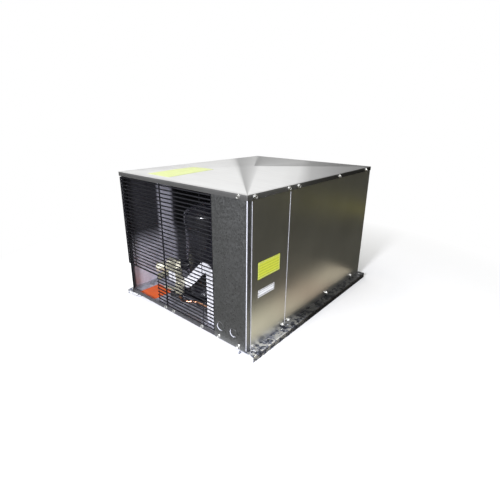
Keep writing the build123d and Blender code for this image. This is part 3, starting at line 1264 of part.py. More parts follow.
# Motor bracket: a band round the motor with three strap arms bolted to the shroud
with BuildPart() as fan_motor_bracket:
    motor_middle_y = MOTOR_BACK_Y - MOTOR_LENGTH / 2
    band = Plane(origin=(0, motor_middle_y + MOTOR_BAND_WIDTH / 2, FAN_Z), z_dir=FRONT)
    with BuildSketch(band):
        Circle(MOTOR_RADIUS + SEAT_GAP + MOTOR_BAND_SHEET)
        Circle(MOTOR_RADIUS + SEAT_GAP, mode=Mode.SUBTRACT)
    extrude(amount=MOTOR_BAND_WIDTH)
    for angle in arm_angles:
        cos, sin = math.cos(math.radians(angle)), math.sin(math.radians(angle))
        arm_origin = Vector(0, 0, FAN_Z) - Vector(-sin, 0, cos) * (MOTOR_ARM_WIDTH / 2)
        folded_sheet(
            Plane(origin=arm_origin, x_dir=(cos, 0, sin), z_dir=(-sin, 0, cos)),
            (
                (MOTOR_RADIUS + SEAT_GAP + MOTOR_BAND_SHEET / 2, motor_middle_y),
                (MOTOR_ARM_REACH, motor_middle_y),
                (MOTOR_ARM_REACH, SHROUD_Y),
                (MOTOR_ARM_REACH + MOTOR_ARM_FOOT, SHROUD_Y),
            ),
            MOTOR_ARM_WIDTH,
            Side.RIGHT,
            MOTOR_ARM_SHEET,
            2 * MOTOR_ARM_SHEET,
        )
    small_holes(arm_bolt_planes(SHROUD_Y), RAIL_BOLT_RADIUS + SCREW_CLEARANCE, RAIL_BOLT_LENGTH)
fan_motor_bracket.part.label = "fan_motor_bracket"
export_step(fan_motor_bracket.part, "parts/fan_motor_bracket.step")

with BuildPart() as motor_bracket_bolts:
    for seat in arm_bolt_planes(SHROUD_Y - MOTOR_ARM_SHEET):
        hex_prism(seat, RAIL_BOLT_ACROSS, RAIL_BOLT_HEAD)
        thin_rod(seat, RAIL_BOLT_RADIUS, -RAIL_BOLT_LENGTH)
motor_bracket_bolts.part.label = "motor_bracket_bolts"
export_step(motor_bracket_bolts.part, "parts/motor_bracket_bolts.step")

with BuildPart() as fan_motor:
    turned(
        Plane(origin=(0, MOTOR_BACK_Y, FAN_Z), x_dir=RIGHT, z_dir=(0, 0, -1)),
        (
            (0, -MOTOR_BOSS),
            (MOTOR_BOSS_RADIUS, -MOTOR_BOSS),
            (MOTOR_BOSS_RADIUS + MOTOR_BOSS, 0),
            (MOTOR_RADIUS - MOTOR_BELL / 2, 0),
            (MOTOR_RADIUS, MOTOR_BELL),
            (MOTOR_RADIUS, MOTOR_LENGTH - MOTOR_BELL),
            (MOTOR_RADIUS - MOTOR_BELL / 2, MOTOR_LENGTH),
            (0, MOTOR_LENGTH),
        ),
    )
    with BuildSketch(Plane(origin=(0, MOTOR_BACK_Y + MOTOR_BOSS, FAN_Z), z_dir=FRONT)):
        Circle(SHAFT_RADIUS + SHAFT_FIT)
    extrude(amount=SHAFT_SOCKET, mode=Mode.SUBTRACT)
    motor_port = Plane(origin=(0, MOTOR_PORT_Y, FAN_Z), z_dir=RIGHT)
    rod(motor_port, CONDUIT_NUT_RADIUS, MOTOR_RADIUS + CONDUIT_NUT)
fan_motor.part.label = "fan_motor"
export_step(fan_motor.part, "parts/fan_motor.step")

# Rotating group: shaft, spider hub and four pitched, cambered blades
shaft_end_y = FAN_Y + HUB_LENGTH / 2 + SHAFT_PROUD
with BuildPart() as fan_shaft:
    shaft_start_y = MOTOR_BACK_Y + MOTOR_BOSS - SHAFT_SOCKET + SHAFT_END_GAP
    rod(Plane(origin=(0, shaft_start_y, FAN_Z), z_dir=REAR), SHAFT_RADIUS, shaft_end_y - shaft_start_y)
    chamfer(fan_shaft.faces().sort_by(Axis.Y)[-1].edges(), 1)
fan_shaft.part.label = "fan_shaft"
export_step(fan_shaft.part, "parts/fan_shaft.step")

camber_radius = (BLADE_CHORD**2 / 4 + BLADE_CAMBER**2) / (2 * BLADE_CAMBER)
pitch_cos = math.cos(math.radians(BLADE_PITCH))
pitch_sin = math.sin(math.radians(BLADE_PITCH))
blade_half = BLADE_CHORD / 2 * pitch_cos
blade_angles = [i * 360 / BLADES for i in range(BLADES)]
fan_places = [Location(fan_point, (0, angle, 0)) for angle in blade_angles]


def blade_plane(radius):
    """The plane of a blade's section at a radius, on a fan whose axis is Y."""
    return Plane(origin=(radius, 0, 0), x_dir=(0, pitch_sin, pitch_cos), z_dir=RIGHT)


def cambered_strip(start, length, inner_radius, outer_radius, chord):
    """A strip of a cylinder wall, as wide as the chord, running out along the blade."""
    with BuildSketch(blade_plane(start)) as section:
        with Locations((0, BLADE_CAMBER - camber_radius)):
            Circle(outer_radius)
            Circle(inner_radius, mode=Mode.SUBTRACT)
        Rectangle(chord, 4 * BLADE_CAMBER, mode=Mode.INTERSECT)
    extrude(section.sketch, amount=length)


with BuildPart(mode=Mode.PRIVATE) as one_blade:
    cambered_strip(
        BLADE_ROOT / 2, FAN_RADIUS, camber_radius, camber_radius + BLADE_SHEET, 2 * BLADE_CHORD
    )
    with BuildSketch(Plane.XZ) as planform:
        with BuildLine():
            Polyline(
                (BLADE_ROOT, -BLADE_ROOT_HALF),
                (BLADE_SHOULDER, -blade_half),
                (BLADE_SHOULDER + FAN_RADIUS, -blade_half),
                (BLADE_SHOULDER + FAN_RADIUS, blade_half),
                (BLADE_SHOULDER, blade_half),
                (BLADE_ROOT, BLADE_ROOT_HALF),
                close=True,
            )
        make_face()
        Circle(FAN_RADIUS, mode=Mode.INTERSECT)
        fillet(planform.vertices().group_by(Axis.X)[-1], BLADE_CORNER)
        fillet(planform.vertices().sort_by_distance((BLADE_SHOULDER, 0))[:2], BLADE_CORNER)
    extrude(amount=BLADE_CHORD, both=True, mode=Mode.INTERSECT)

with BuildPart() as fan_blades:
    with Locations(*fan_places):
        add(one_blade.part)
fan_blades.part.label = "fan_blades"
export_step(fan_blades.part, "parts/fan_blades.step")

with BuildPart(mode=Mode.PRIVATE) as one_arm:
    arm_outer = camber_radius - WELD_GAP
    cambered_strip(HUB_RADIUS / 2, SPIDER_REACH - HUB_RADIUS / 2, arm_outer - SPIDER_SHEET, arm_outer, SPIDER_ARM)

with BuildPart() as fan_hub:
    with Locations(*fan_places):
        add(one_arm.part)
    rod(Plane(origin=(0, FAN_Y - HUB_LENGTH / 2, FAN_Z), z_dir=REAR), HUB_RADIUS, HUB_LENGTH)
    with BuildSketch(Plane(origin=(0, FAN_Y + HUB_LENGTH, FAN_Z), z_dir=FRONT)):
        Circle(SHAFT_RADIUS + HUB_FIT)
    extrude(amount=2 * HUB_LENGTH, mode=Mode.SUBTRACT)
fan_hub.part.label = "fan_hub"
export_step(fan_hub.part, "parts/fan_hub.step")

# Control box behind the access panel: a tray on two legs, open towards the panel
box_front_y = -PANEL_Y + SHEET + SEAT_GAP
box_wall_x = BOX_LEFT_X + BOX_SHEET
with BuildPart() as control_box:
    with Locations((BOX_LEFT_X, box_front_y, BOX_BOTTOM_Z)):
        Box(
            BOX_RIGHT_X - BOX_LEFT_X,
            BOX_BACK_Y - box_front_y,
            BOX_TOP_Z - BOX_BOTTOM_Z,
            align=(Align.MIN, Align.MIN, Align.MIN),
        )
    fillet(control_box.edges().filter_by(Axis.X), BEND_RADIUS)
    offset(amount=-BOX_SHEET, openings=control_box.faces().sort_by(Axis.X)[-1])
    for leg_y in box_leg_ys:
        with Locations((BOX_LEFT_X, leg_y, PAN_FLOOR)):
            Box(
                BOX_SHEET,
                BOX_LEG_WIDTH,
                BOX_BOTTOM_Z + BOX_LEG_LAP - PAN_FLOOR,
                align=(Align.MIN, Align.CENTER, Align.MIN),
            )
            Box(BOX_FOOT, BOX_LEG_WIDTH, BOX_SHEET, align=(Align.MIN, Align.CENTER, Align.MIN))
    drill_for(leg_screws)
control_box.part.label = "control_box"
export_step(control_box.part, "parts/control_box.step")

# Contactor, whose armature presses in against its spring
wall_plane = Plane(origin=(box_wall_x, 0, 0), x_dir=REAR, z_dir=RIGHT)
contactor_face = wall_plane.offset(CONTACTOR_DEPTH)
with BuildPart() as contactor_body:
    with BuildSketch(wall_plane):
        with Locations((CONTACTOR_Y, CONTACTOR_Z)):
            RectangleRounded(
                CONTACTOR_WIDTH + 2 * CONTACTOR_FOOT, CONTACTOR_HEIGHT + 2 * CONTACTOR_FOOT, CONTACTOR_FOOT
            )
    extrude(amount=CONTACTOR_FOOT)
    with BuildSketch(wall_plane):
        with Locations((CONTACTOR_Y, CONTACTOR_Z)):
            Rectangle(CONTACTOR_WIDTH, CONTACTOR_HEIGHT)
    extrude(amount=CONTACTOR_DEPTH - POLE_STEP)
    with BuildSketch(wall_plane):
        with Locations((CONTACTOR_Y, CONTACTOR_Z)):
            Rectangle(CONTACTOR_WIDTH, CONTACTOR_HEIGHT - 2 * POLE_STEP)
    extrude(amount=CONTACTOR_DEPTH)
    with BuildSketch(wall_plane.offset(CONTACTOR_DEPTH - POLE_STEP)):
        with Locations((CONTACTOR_Y, CONTACTOR_Z)):
            with GridLocations(CONTACTOR_WIDTH / 3, CONTACTOR_HEIGHT - POLE_STEP, 3, 2):
                RegularPolygon(POLE_SCREW_RADIUS, 8)
    extrude(amount=POLE_STEP / 3)
    with BuildSketch(contactor_face):
        with Locations((CONTACTOR_Y, CONTACTOR_Z)):
            Rectangle(ARMATURE_WIDTH + 2 * ARMATURE_GAP, ARMATURE_HEIGHT + 2 * ARMATURE_GAP)
    pocket = ARMATURE_DEPTH - ARMATURE_PROUD + ARMATURE_TRAVEL + ARMATURE_GAP
    extrude(amount=-pocket, mode=Mode.SUBTRACT)
contactor_body.part.label = "contactor_body"
export_step(contactor_body.part, "parts/contactor_body.step")

with BuildPart() as contactor_armature:
    with BuildSketch(contactor_face.offset(ARMATURE_PROUD)):
        with Locations((CONTACTOR_Y, CONTACTOR_Z)):
            Rectangle(ARMATURE_WIDTH, ARMATURE_HEIGHT)
    extrude(amount=-ARMATURE_DEPTH)
    fillet(contactor_armature.faces().sort_by(Axis.X)[-1].edges(), ARMATURE_ROUND)
contactor_armature.part.label = "contactor_armature"
export_step(contactor_armature.part, "parts/contactor_armature.step")

with BuildPart() as terminal_block:
    with BuildSketch(wall_plane):
        with Locations((TERMINAL_BLOCK_Y, TERMINAL_BLOCK_Z)):
            Rectangle(TERMINAL_BLOCK_LENGTH, TERMINAL_BLOCK_HEIGHT)
    extrude(amount=TERMINAL_BLOCK_DEPTH)
    with BuildSketch(wall_plane.offset(TERMINAL_BLOCK_DEPTH)):
        with Locations((TERMINAL_BLOCK_Y, TERMINAL_BLOCK_Z)):
            with GridLocations(TERMINAL_BLOCK_LENGTH / TERMINAL_POLES, 0, TERMINAL_POLES, 1):
                Rectangle(
                    TERMINAL_BLOCK_LENGTH / TERMINAL_POLES - TERMINAL_BARRIER,
                    TERMINAL_BLOCK_HEIGHT,
                )
    extrude(amount=-TERMINAL_BLOCK_DEPTH / 2, mode=Mode.SUBTRACT)
    with BuildSketch(wall_plane.offset(TERMINAL_BLOCK_DEPTH / 2)):
        with Locations((TERMINAL_BLOCK_Y, TERMINAL_BLOCK_Z)):
            with GridLocations(
                TERMINAL_BLOCK_LENGTH / TERMINAL_POLES, TERMINAL_BLOCK_HEIGHT / 2, TERMINAL_POLES, 2
            ):
                RegularPolygon(POLE_SCREW_RADIUS, 8)
    extrude(amount=POLE_STEP / 3)
terminal_block.part.label = "terminal_block"
export_step(terminal_block.part, "parts/terminal_block.step")

# Run capacitor: a round can held to the wall by a band
capacitor_x = box_wall_x + CAPACITOR_RADIUS + CAPACITOR_BAND_SHEET + 2 * SEAT_GAP
capacitor_seat = Plane(origin=(capacitor_x, CAPACITOR_Y, CAPACITOR_Z))
with BuildPart() as run_capacitor:
    rod(capacitor_seat.offset(-CAPACITOR_LENGTH / 2), CAPACITOR_RADIUS, CAPACITOR_LENGTH)
    chamfer(run_capacitor.edges(), ARMATURE_ROUND)
    rod(capacitor_seat, CAPACITOR_RADIUS / 2, CAPACITOR_LENGTH / 2 + ARMATURE_ROUND)
run_capacitor.part.label = "run_capacitor"
export_step(run_capacitor.part, "parts/run_capacitor.step")

with BuildPart() as capacitor_band:
    with BuildSketch(capacitor_seat.offset(-CAPACITOR_BAND / 2)):
        Circle(CAPACITOR_RADIUS + SEAT_GAP + CAPACITOR_BAND_SHEET)
        with Locations((box_wall_x - capacitor_x + SEAT_GAP, 0)):
            Rectangle(
                CAPACITOR_BAND_SHEET,
                2 * CAPACITOR_RADIUS + 2 * CAPACITOR_BAND,
                align=(Align.MIN, Align.CENTER),
            )
        Circle(CAPACITOR_RADIUS + SEAT_GAP, mode=Mode.SUBTRACT)
    extrude(amount=CAPACITOR_BAND)
capacitor_band.part.label = "capacitor_band"
export_step(capacitor_band.part, "parts/capacitor_band.step")

# Conduits from the control box to the compressor's terminal box and to the fan motor
terminal_top_z = terminal_z + TERMINAL_BOX_HEIGHT / 2
conduit_x = terminal_face_x + (TERMINAL_BOX_DEPTH - TERMINAL_COVER) / 2
with BuildPart() as conduit_fittings:
    rod(Plane(origin=(conduit_x, CONDUIT_Y, terminal_top_z)), CONDUIT_NUT_RADIUS, CONDUIT_NUT)
    rod(Plane(origin=(BOX_LEFT_X, CONDUIT_Y, CONDUIT_ENTRY_Z), z_dir=LEFT), CONDUIT_NUT_RADIUS, CONDUIT_NUT)
    rod(Plane(origin=(FAN_CONDUIT_X, BOX_BACK_Y, FAN_Z), z_dir=REAR), CONDUIT_NUT_RADIUS, CONDUIT_NUT)
conduit_fittings.part.label = "conduit_fittings"
export_step(conduit_fittings.part, "parts/conduit_fittings.step")

with BuildPart() as compressor_conduit:
    bent_tube(
        (
            (conduit_x, CONDUIT_Y, terminal_top_z + CONDUIT_NUT),
            (conduit_x, CONDUIT_Y, CONDUIT_ENTRY_Z),
            (BOX_LEFT_X - CONDUIT_NUT, CONDUIT_Y, CONDUIT_ENTRY_Z),
        ),
        CONDUIT_RADIUS,
        CONDUIT_BEND,
    )
compressor_conduit.part.label = "compressor_conduit"
export_step(compressor_conduit.part, "parts/compressor_conduit.step")

with BuildPart() as fan_conduit:
    bent_tube(
        (
            (MOTOR_RADIUS + CONDUIT_NUT, MOTOR_PORT_Y, FAN_Z),
            (FAN_CONDUIT_X - FAN_CONDUIT_SLANT_X, MOTOR_PORT_Y, FAN_Z),
            (FAN_CONDUIT_X, MOTOR_PORT_Y - FAN_CONDUIT_SLANT_Y, FAN_Z),
            (FAN_CONDUIT_X, BOX_BACK_Y + CONDUIT_NUT, FAN_Z),
        ),
        CONDUIT_RADIUS,
        CONDUIT_BEND,
    )
fan_conduit.part.label = "fan_conduit"
export_step(fan_conduit.part, "parts/fan_conduit.step")
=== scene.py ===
"""Dresses a refrigeration condensing unit: metal finishes, screws, fins, bends, plates and a plain studio."""

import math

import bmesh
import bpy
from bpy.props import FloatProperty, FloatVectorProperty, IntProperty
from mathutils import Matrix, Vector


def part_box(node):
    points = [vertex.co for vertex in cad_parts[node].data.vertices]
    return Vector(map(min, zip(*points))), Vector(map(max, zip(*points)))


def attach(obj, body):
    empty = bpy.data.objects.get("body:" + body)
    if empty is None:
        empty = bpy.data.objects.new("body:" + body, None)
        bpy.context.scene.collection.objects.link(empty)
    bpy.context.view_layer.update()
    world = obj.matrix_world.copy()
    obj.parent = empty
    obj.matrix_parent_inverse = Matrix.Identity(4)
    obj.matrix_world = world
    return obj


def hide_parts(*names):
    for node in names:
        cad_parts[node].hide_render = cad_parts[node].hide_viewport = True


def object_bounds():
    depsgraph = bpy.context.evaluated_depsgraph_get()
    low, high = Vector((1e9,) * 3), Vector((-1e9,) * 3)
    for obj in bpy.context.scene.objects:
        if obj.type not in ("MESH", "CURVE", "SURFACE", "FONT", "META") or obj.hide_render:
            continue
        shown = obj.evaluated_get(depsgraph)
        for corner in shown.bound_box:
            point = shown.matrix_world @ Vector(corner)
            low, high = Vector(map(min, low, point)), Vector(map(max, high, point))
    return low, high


bl_info = {
    "name": "Condensing unit dressing",
    "version": (1, 0, 0),
    "blender": (4, 5, 0),
    "location": "3D View > Sidebar > Condensing unit",
    "description": "Gives a sheet-metal condensing unit its finishes and its fine pieces",
    "category": "Object",
}

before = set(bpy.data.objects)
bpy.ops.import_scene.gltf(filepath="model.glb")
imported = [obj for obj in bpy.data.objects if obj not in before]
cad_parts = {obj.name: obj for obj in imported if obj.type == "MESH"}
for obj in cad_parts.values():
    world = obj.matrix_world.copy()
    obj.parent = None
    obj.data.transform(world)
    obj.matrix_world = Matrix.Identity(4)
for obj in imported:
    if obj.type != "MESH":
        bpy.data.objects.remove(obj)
cad_low, cad_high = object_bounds()
cad_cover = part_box("top_cover")

UNIT = "unit_base"
PANEL = "service_panel"
RIGHT = Vector((1, 0, 0))
REAR = Vector((0, 1, 0))
UP = Vector((0, 0, 1))
UP_TO_RIGHT = (0, math.pi / 2, 0)
REAR_TO_RIGHT = (0, 0, -math.pi / 2)
SOFT_BELOW = math.radians(50)
HEAT_MARK = (0.24, 0.10, 0.06)

# The light and dark that the sheets mirror in the photo, painted along gradients. A span or climb is where
# the gradient starts and ends, in metres; the rest are its stops, each a place from 0 to 1 and a factor.
COVER_WEDGE_REFLECTION = ((0.847, 1.0), (0.853, 0.74), (0.866, 0.5), (0.8735, 0.42), (0.8755, 1.0))
COVER_BACK_SLOPE_REFLECTION = ((0.643, 1.0), (0.648, 0.5), (0.74, 0.62), (0.85, 0.42), (0.856, 1.0))
COVER_FAR_CORNER_REFLECTION = ((0.0, 1.0), (0.16, 0.92), (0.3, 0.5), (0.6, 0.3), (1.0, 0.16))
COVER_LIP_REFLECTION = ((0.3, 0.3), (0.55, 0.42), (0.6, 1.0))
FAR_SPAN = (0.12, 0.42)
FAR_TURN = (0, 0, -math.radians(30))
LEFT_SPAN = (-0.30, -0.10)
LEFT_CLIMB = (0.17, 0.26)
LEFT_STRIP = ((0.30, 1), (0.38, 0), (0.62, 0), (0.72, 1))
RAIL_SPAN = (-0.30, -0.08)
RAIL_REFLECTION_FADE = ((0.0, 1.0), (0.55, 0.5), (1.0, 0.07))


# Sizes and colours that can be changed


def length(name, description, default):
    """A size in metres."""
    return FloatProperty(name=name, description=description, default=default, min=0, unit="LENGTH")


def colour(name, description, default):
    """A colour in linear values."""
    return FloatVectorProperty(
        name=name, description=description, default=default, size=3, min=0, max=1, subtype="COLOR"
    )


def plane(name, description, default):
    """Two sizes or two places in metres."""
    return FloatVectorProperty(name=name, description=description, default=default, size=2, unit="LENGTH")


def place(name, description, default):
    """A place in metres."""
    return FloatVectorProperty(
        name=name, description=description, default=default, size=3, subtype="TRANSLATION"
    )


def number(name, description, default, low=0):
    """A plain number."""
    return FloatProperty(name=name, description=description, default=default, min=low)


def angle(name, description, degrees):
    """An angle, given in degrees."""
    return FloatProperty(name=name, description=description, default=math.radians(degrees), subtype="ANGLE")


def count(name, description, default, low=3):
    """A whole number."""
    return IntProperty(name=name, description=description, default=default, min=low)


class StudioSettings(bpy.types.PropertyGroup):
    """The camera, floor and lights."""

    camera_place: place("Camera place", "Where the camera stands", (0.8356, -1.0211, 0.6532))
    camera_pitch: angle("Pitch", "How far the camera looks below the horizon", 19.45)
    camera_turn: angle("Turn", "How far the camera is turned to the left of the depth axis", 40.07)
    camera_roll: angle("Roll", "How far the camera leans", 0.57)
    lens: number("Lens", "Focal length in millimetres", 25.25, 1)
    sensor: number("Sensor", "Width of the camera's sensor in millimetres", 36, 1)
    nearest: length("Nearest", "Smallest distance that the camera shows", 0.01)
    shift_right: number("Shift right", "Sideways shift of the picture", 0.0028, -1)
    shift_up: number("Shift up", "Upward shift of the picture", -0.0154, -1)
    floor_colour: colour("Floor", "Colour of the floor and the background", (0.93, 0.93, 0.92))
    floor_reach: length("Floor reach", "Distance from the floor's middle to its rim", 8)
    shadow_reach: length("Shadow reach", "How far from the unit's middle the floor shows its shadow", 0.75)
    white_reach: length("White reach", "How far from the unit's middle the floor is plain white", 1.25)
    card_colour: colour("Dark card", "Colour of the cards that darken the sheet metal", (0.055, 0.052, 0.04))
    card_start: length("Card start", "Distance from the hood's sides to the dark card on the floor", 0.155)
    front_start: length("Front start", "The same distance before the front and behind the back", 0.03)
    card_reach: length("Card reach", "How far the dark cards reach from the hood", 3.0)
    card_height: length("Card height", "Height of the standing cards", 1.1)
    card_sheet: length("Card sheet", "Thickness of a standing card", 0.01)
    card_lift: plane("Card lift", "Lowest and highest face of the cards on the floor", (0.0005, 0.001))
    tan_colour: colour("Tan card", "Colour of the card beside the rails", (0.92, 0.68, 0.52))
    tan_start: length("Tan start", "Distance from the hood's sides to the tan card", 0.045)
    streak_colour: colour("Streak", "Colour of the strip that the right side mirrors", (0.50, 0.45, 0.05))
    streak_start: place("Streak start", "Where the strip on the floor starts", (0.56, 1.572, 0.002))
    streak_end: place("Streak end", "Where the strip on the floor ends", (1.49, 1.478, 0.002))
    streak_width: length("Streak width", "Width of the strip", 0.13)
    streak_sheet: length("Streak sheet", "Thickness of the strip", 0.001)
    key_power: number("Key", "Power of the overhead lamp in watts", 30)
    key_size: length("Key size", "Width of the overhead lamp", 1.8)
    key_place: place("Key place", "Where the overhead lamp hangs", (-0.5, -0.3, 2.6))
    key_target: place("Key target", "Where it points", (0, 0, 0.3))
    fill_power: number("Fill", "Power of the lamp by the camera in watts", 75)
    fill_size: length("Fill size", "Width of the lamp by the camera", 0.35)
    fill_place: place("Fill place", "Where the lamp by the camera stands", (0.5, -2.2, 1.1))
    fill_target: place("Fill target", "Where it points", (-0.05, -0.2, 0.2))
    fill_colour: colour("Fill colour", "Colour of the lamp by the camera", (0.92, 0.93, 1))
    sky_strength: number("Sky", "Strength of the even light", 0.62)


class SheetSettings(bpy.types.PropertyGroup):
    """The galvanised sheet metal."""

    panel_colour: colour("Panels", "Smooth galvanised side panels", (0.50, 0.50, 0.46))
    front_colour: colour("Front", "Spangled front panel", (0.185, 0.19, 0.19))
    cover_colour: colour("Cover", "Bright top cover", (0.74, 0.74, 0.73))
    base_colour: colour("Base", "Spangled base pan", (0.60, 0.60, 0.66))
    rail_colour: colour("Rails", "Coarsely spangled rails", (0.52, 0.56, 0.74))
    lit_inner_colour: colour("Inside", "Pale inner faces", (0.80, 0.79, 0.90))
    lit_strap_colour: colour("Straps", "Bright inner brackets", (0.92, 0.92, 0.97))
    spangle: length("Spangle", "Width of a zinc crystal", 0.007)
    edge_radius: length("Edge", "Radius of the bright rolled panel edges", 0.0016)
    edge_end: length("Edge end", "How far a bright edge stays from the ends of its panel", 0.004)
    edge_sunk: length("Edge sunk", "Depth of an edge's middle in the access panel", 0.00096)
    edge_sides: count("Edge sides", "Sides of a bright edge", 12)
    knock_out_insets: plane("Knock-out insets", "Distances from the right corner", (0.048, 0.1005))
    knock_out_height: length("Knock-out height", "Height of the knock-outs above the ground", 0.066)
    knock_out_radius: length("Knock-out radius", "Radius of a knock-out", 0.0125)
    knock_out_sides: count("Knock-out sides", "Sides of a knock-out", 48)
    crescent: length("Crescent", "Width of the bright crescent at a knock-out", 0.0026)
    glint_sheet: length("Glint sheet", "How far the bright edge stands out", 0.000325)
    slug_sheet: length("Slug sheet", "How far the pressed slug stands out", 0.00065)
    slug_taper: number("Slug taper", "Share of the slug's radius that is left at its face", 0.97)


class FastenerSettings(bpy.types.PropertyGroup):
    """Sheet-metal screws with a flange and a hexagonal head, and the grille's wires."""

    head_height: length("Head height", "Height of the hexagon above the flange", 0.0042)
    head_taper: number("Head taper", "Share of the head's radius that is left at its top", 0.97)
    flange_height: length("Flange height", "Thickness of the flange", 0.001)
    flange_radius: length("Flange radius", "Radius of the flange", 0.0062)
    flange_taper: number("Flange taper", "Share of the flange's radius that is left at its top", 0.93)
    flange_sides: count("Flange sides", "Sides of the flange", 20)
    across: length("Across flats", "Size of the hexagon", 0.0079)
    dimple: length("Dimple", "Depth of the hollow in the head", 0.0008)
    dimple_rim: number("Dimple rim", "Width of the rim round the hollow, as a share of the radius", 0.3)
    wire_radius: length("Wire radius", "Radius of a grille wire with its coating", 0.0021)
    wire_chamfer: length("Wire chamfer", "Chamfer at a wire's ends", 0.00063)
    end_wire_radius: length("End wire radius", "Radius of the upright wire at the grille's left end", 0.00252)
    wire_sides: count("Wire sides", "Sides of a grille wire", 10)


class CoilSettings(bpy.types.PropertyGroup):
    """Fins, tubes and return bends of the condenser coil."""

    fin_pitch: length("Fin pitch", "Distance between two fins", 0.0026)
    fin_sheet: length("Fin sheet", "Thickness of a fin", 0.0006)
    tube_radius: length("Tube radius", "Outer radius of the coil's tubes", 0.00476)
    tube_pitch: length("Tube pitch", "Distance between two tubes of one row", 0.0254)
    tubes_high: count("Tubes", "Tubes in one row", 16)
    rows: count("Rows", "Rows of tubes", 3, 1)
    bend_steps: count("Bend steps", "Steps round a return bend", 10)
    tube_sides: count("Tube sides", "Sides of a tube's section", 14)


class PlateSettings(bpy.types.PropertyGroup):
    """Bare stickers and plates, and where the photographed ones lie."""

    thickness: length("Thickness", "Thickness of a sticker", 0.0003)
    corner: length("Corner", "Radius of a sticker's corners", 0.0015)
    margin: length("Margin", "Distance from a sticker's rim to its printed frame", 0.0022)
    rim: length("Rim", "Width of the printed frame", 0.0022)
    ink: length("Ink", "Thickness of the printed frame", 0.0001)
    yellow_place: plane("Yellow place", "Depth and height of the yellow sticker", (-0.2827, 0.2587))
    yellow_size: plane("Yellow size", "Width and height of the yellow sticker", (0.1016, 0.0508))
    white_place: plane("White place", "Depth and height of the white sticker", (-0.2934, 0.1884))
    white_size: plane("White size", "Width and height of the white sticker", (0.0762, 0.0222))
    film_place: plane("Film place", "Middle of the pale film on the cover", (-0.118, -0.245))
    film_size: plane("Film size", "Width and depth of the pale film", (0.110, 0.195))
    film_columns: count("Film columns", "Squares across the film", 24)
    film_rows: count("Film rows", "Squares along the film", 36)
    cover_rise: length("Cover rise", "How far the cover's middle stands above its edge", 0.010)
    card_place: plane("Card place", "Middle of the orange card", (-0.214, -0.320))
    card_size: plane("Card size", "Width and depth of the orange card", (0.092, 0.088))
    pan_sheet: length("Pan sheet", "Height of the pan's floor above its lowest edge", 0.0012)
    yellow: colour("Yellow", "Sticker on the access panel", (0.62, 0.68, 0.04))
    pale_yellow: colour("Pale yellow", "Sticker on the cover", (0.58, 0.64, 0.25))
    white: colour("White", "Small sticker", (0.86, 0.87, 0.90))
    orange: colour("Orange", "Card on the pan's floor", (0.85, 0.13, 0.012))
    silver: colour("Silver", "Frame on the small sticker", (0.62, 0.63, 0.64))


class BeadSettings(bpy.types.PropertyGroup):
    """Weld beads on the compressor and the receiver."""

    bead: length("Bead", "Radius of a weld bead", 0.0014)
    shell_steps: count("Shell steps", "Steps round a bead of the compressor", 64)
    head_steps: count("Head steps", "Steps round a bead of the receiver", 56)
    shell_reach: length("Shell reach", "Radius of the compressor at its seams", 0.0831)
    lower_seam: length("Lower seam", "Height of the lower seam above the shell's foot", 0.088)
    upper_seam: length("Upper seam", "Depth of the upper seam below the shell's top", 0.084)
    head: length("Head", "Distance from the receiver's ends to its seams", 0.034)


SETTINGS = {
    "unit_studio": StudioSettings,
    "unit_sheet": SheetSettings,
    "unit_fasteners": FastenerSettings,
    "unit_coil": CoilSettings,
    "unit_plates": PlateSettings,
    "unit_beads": BeadSettings,
}


# Materials


def add_node(tree, kind, inputs=None, **options):
    """A shader node; a value that is another node's output is linked, and any other is set on its socket."""
    node = tree.nodes.new("ShaderNode" + kind)
    for name, option in options.items():
        setattr(node, name, option)
    for socket, value in (inputs or {}).items():
        if isinstance(value, bpy.types.NodeSocket):
            tree.links.new(value, node.inputs[socket])
        else:
            node.inputs[socket].default_value = value
    return node


def shade(base, factor):
    """A colour made lighter or darker."""
    return tuple(min(1.0, channel * factor) for channel in base)


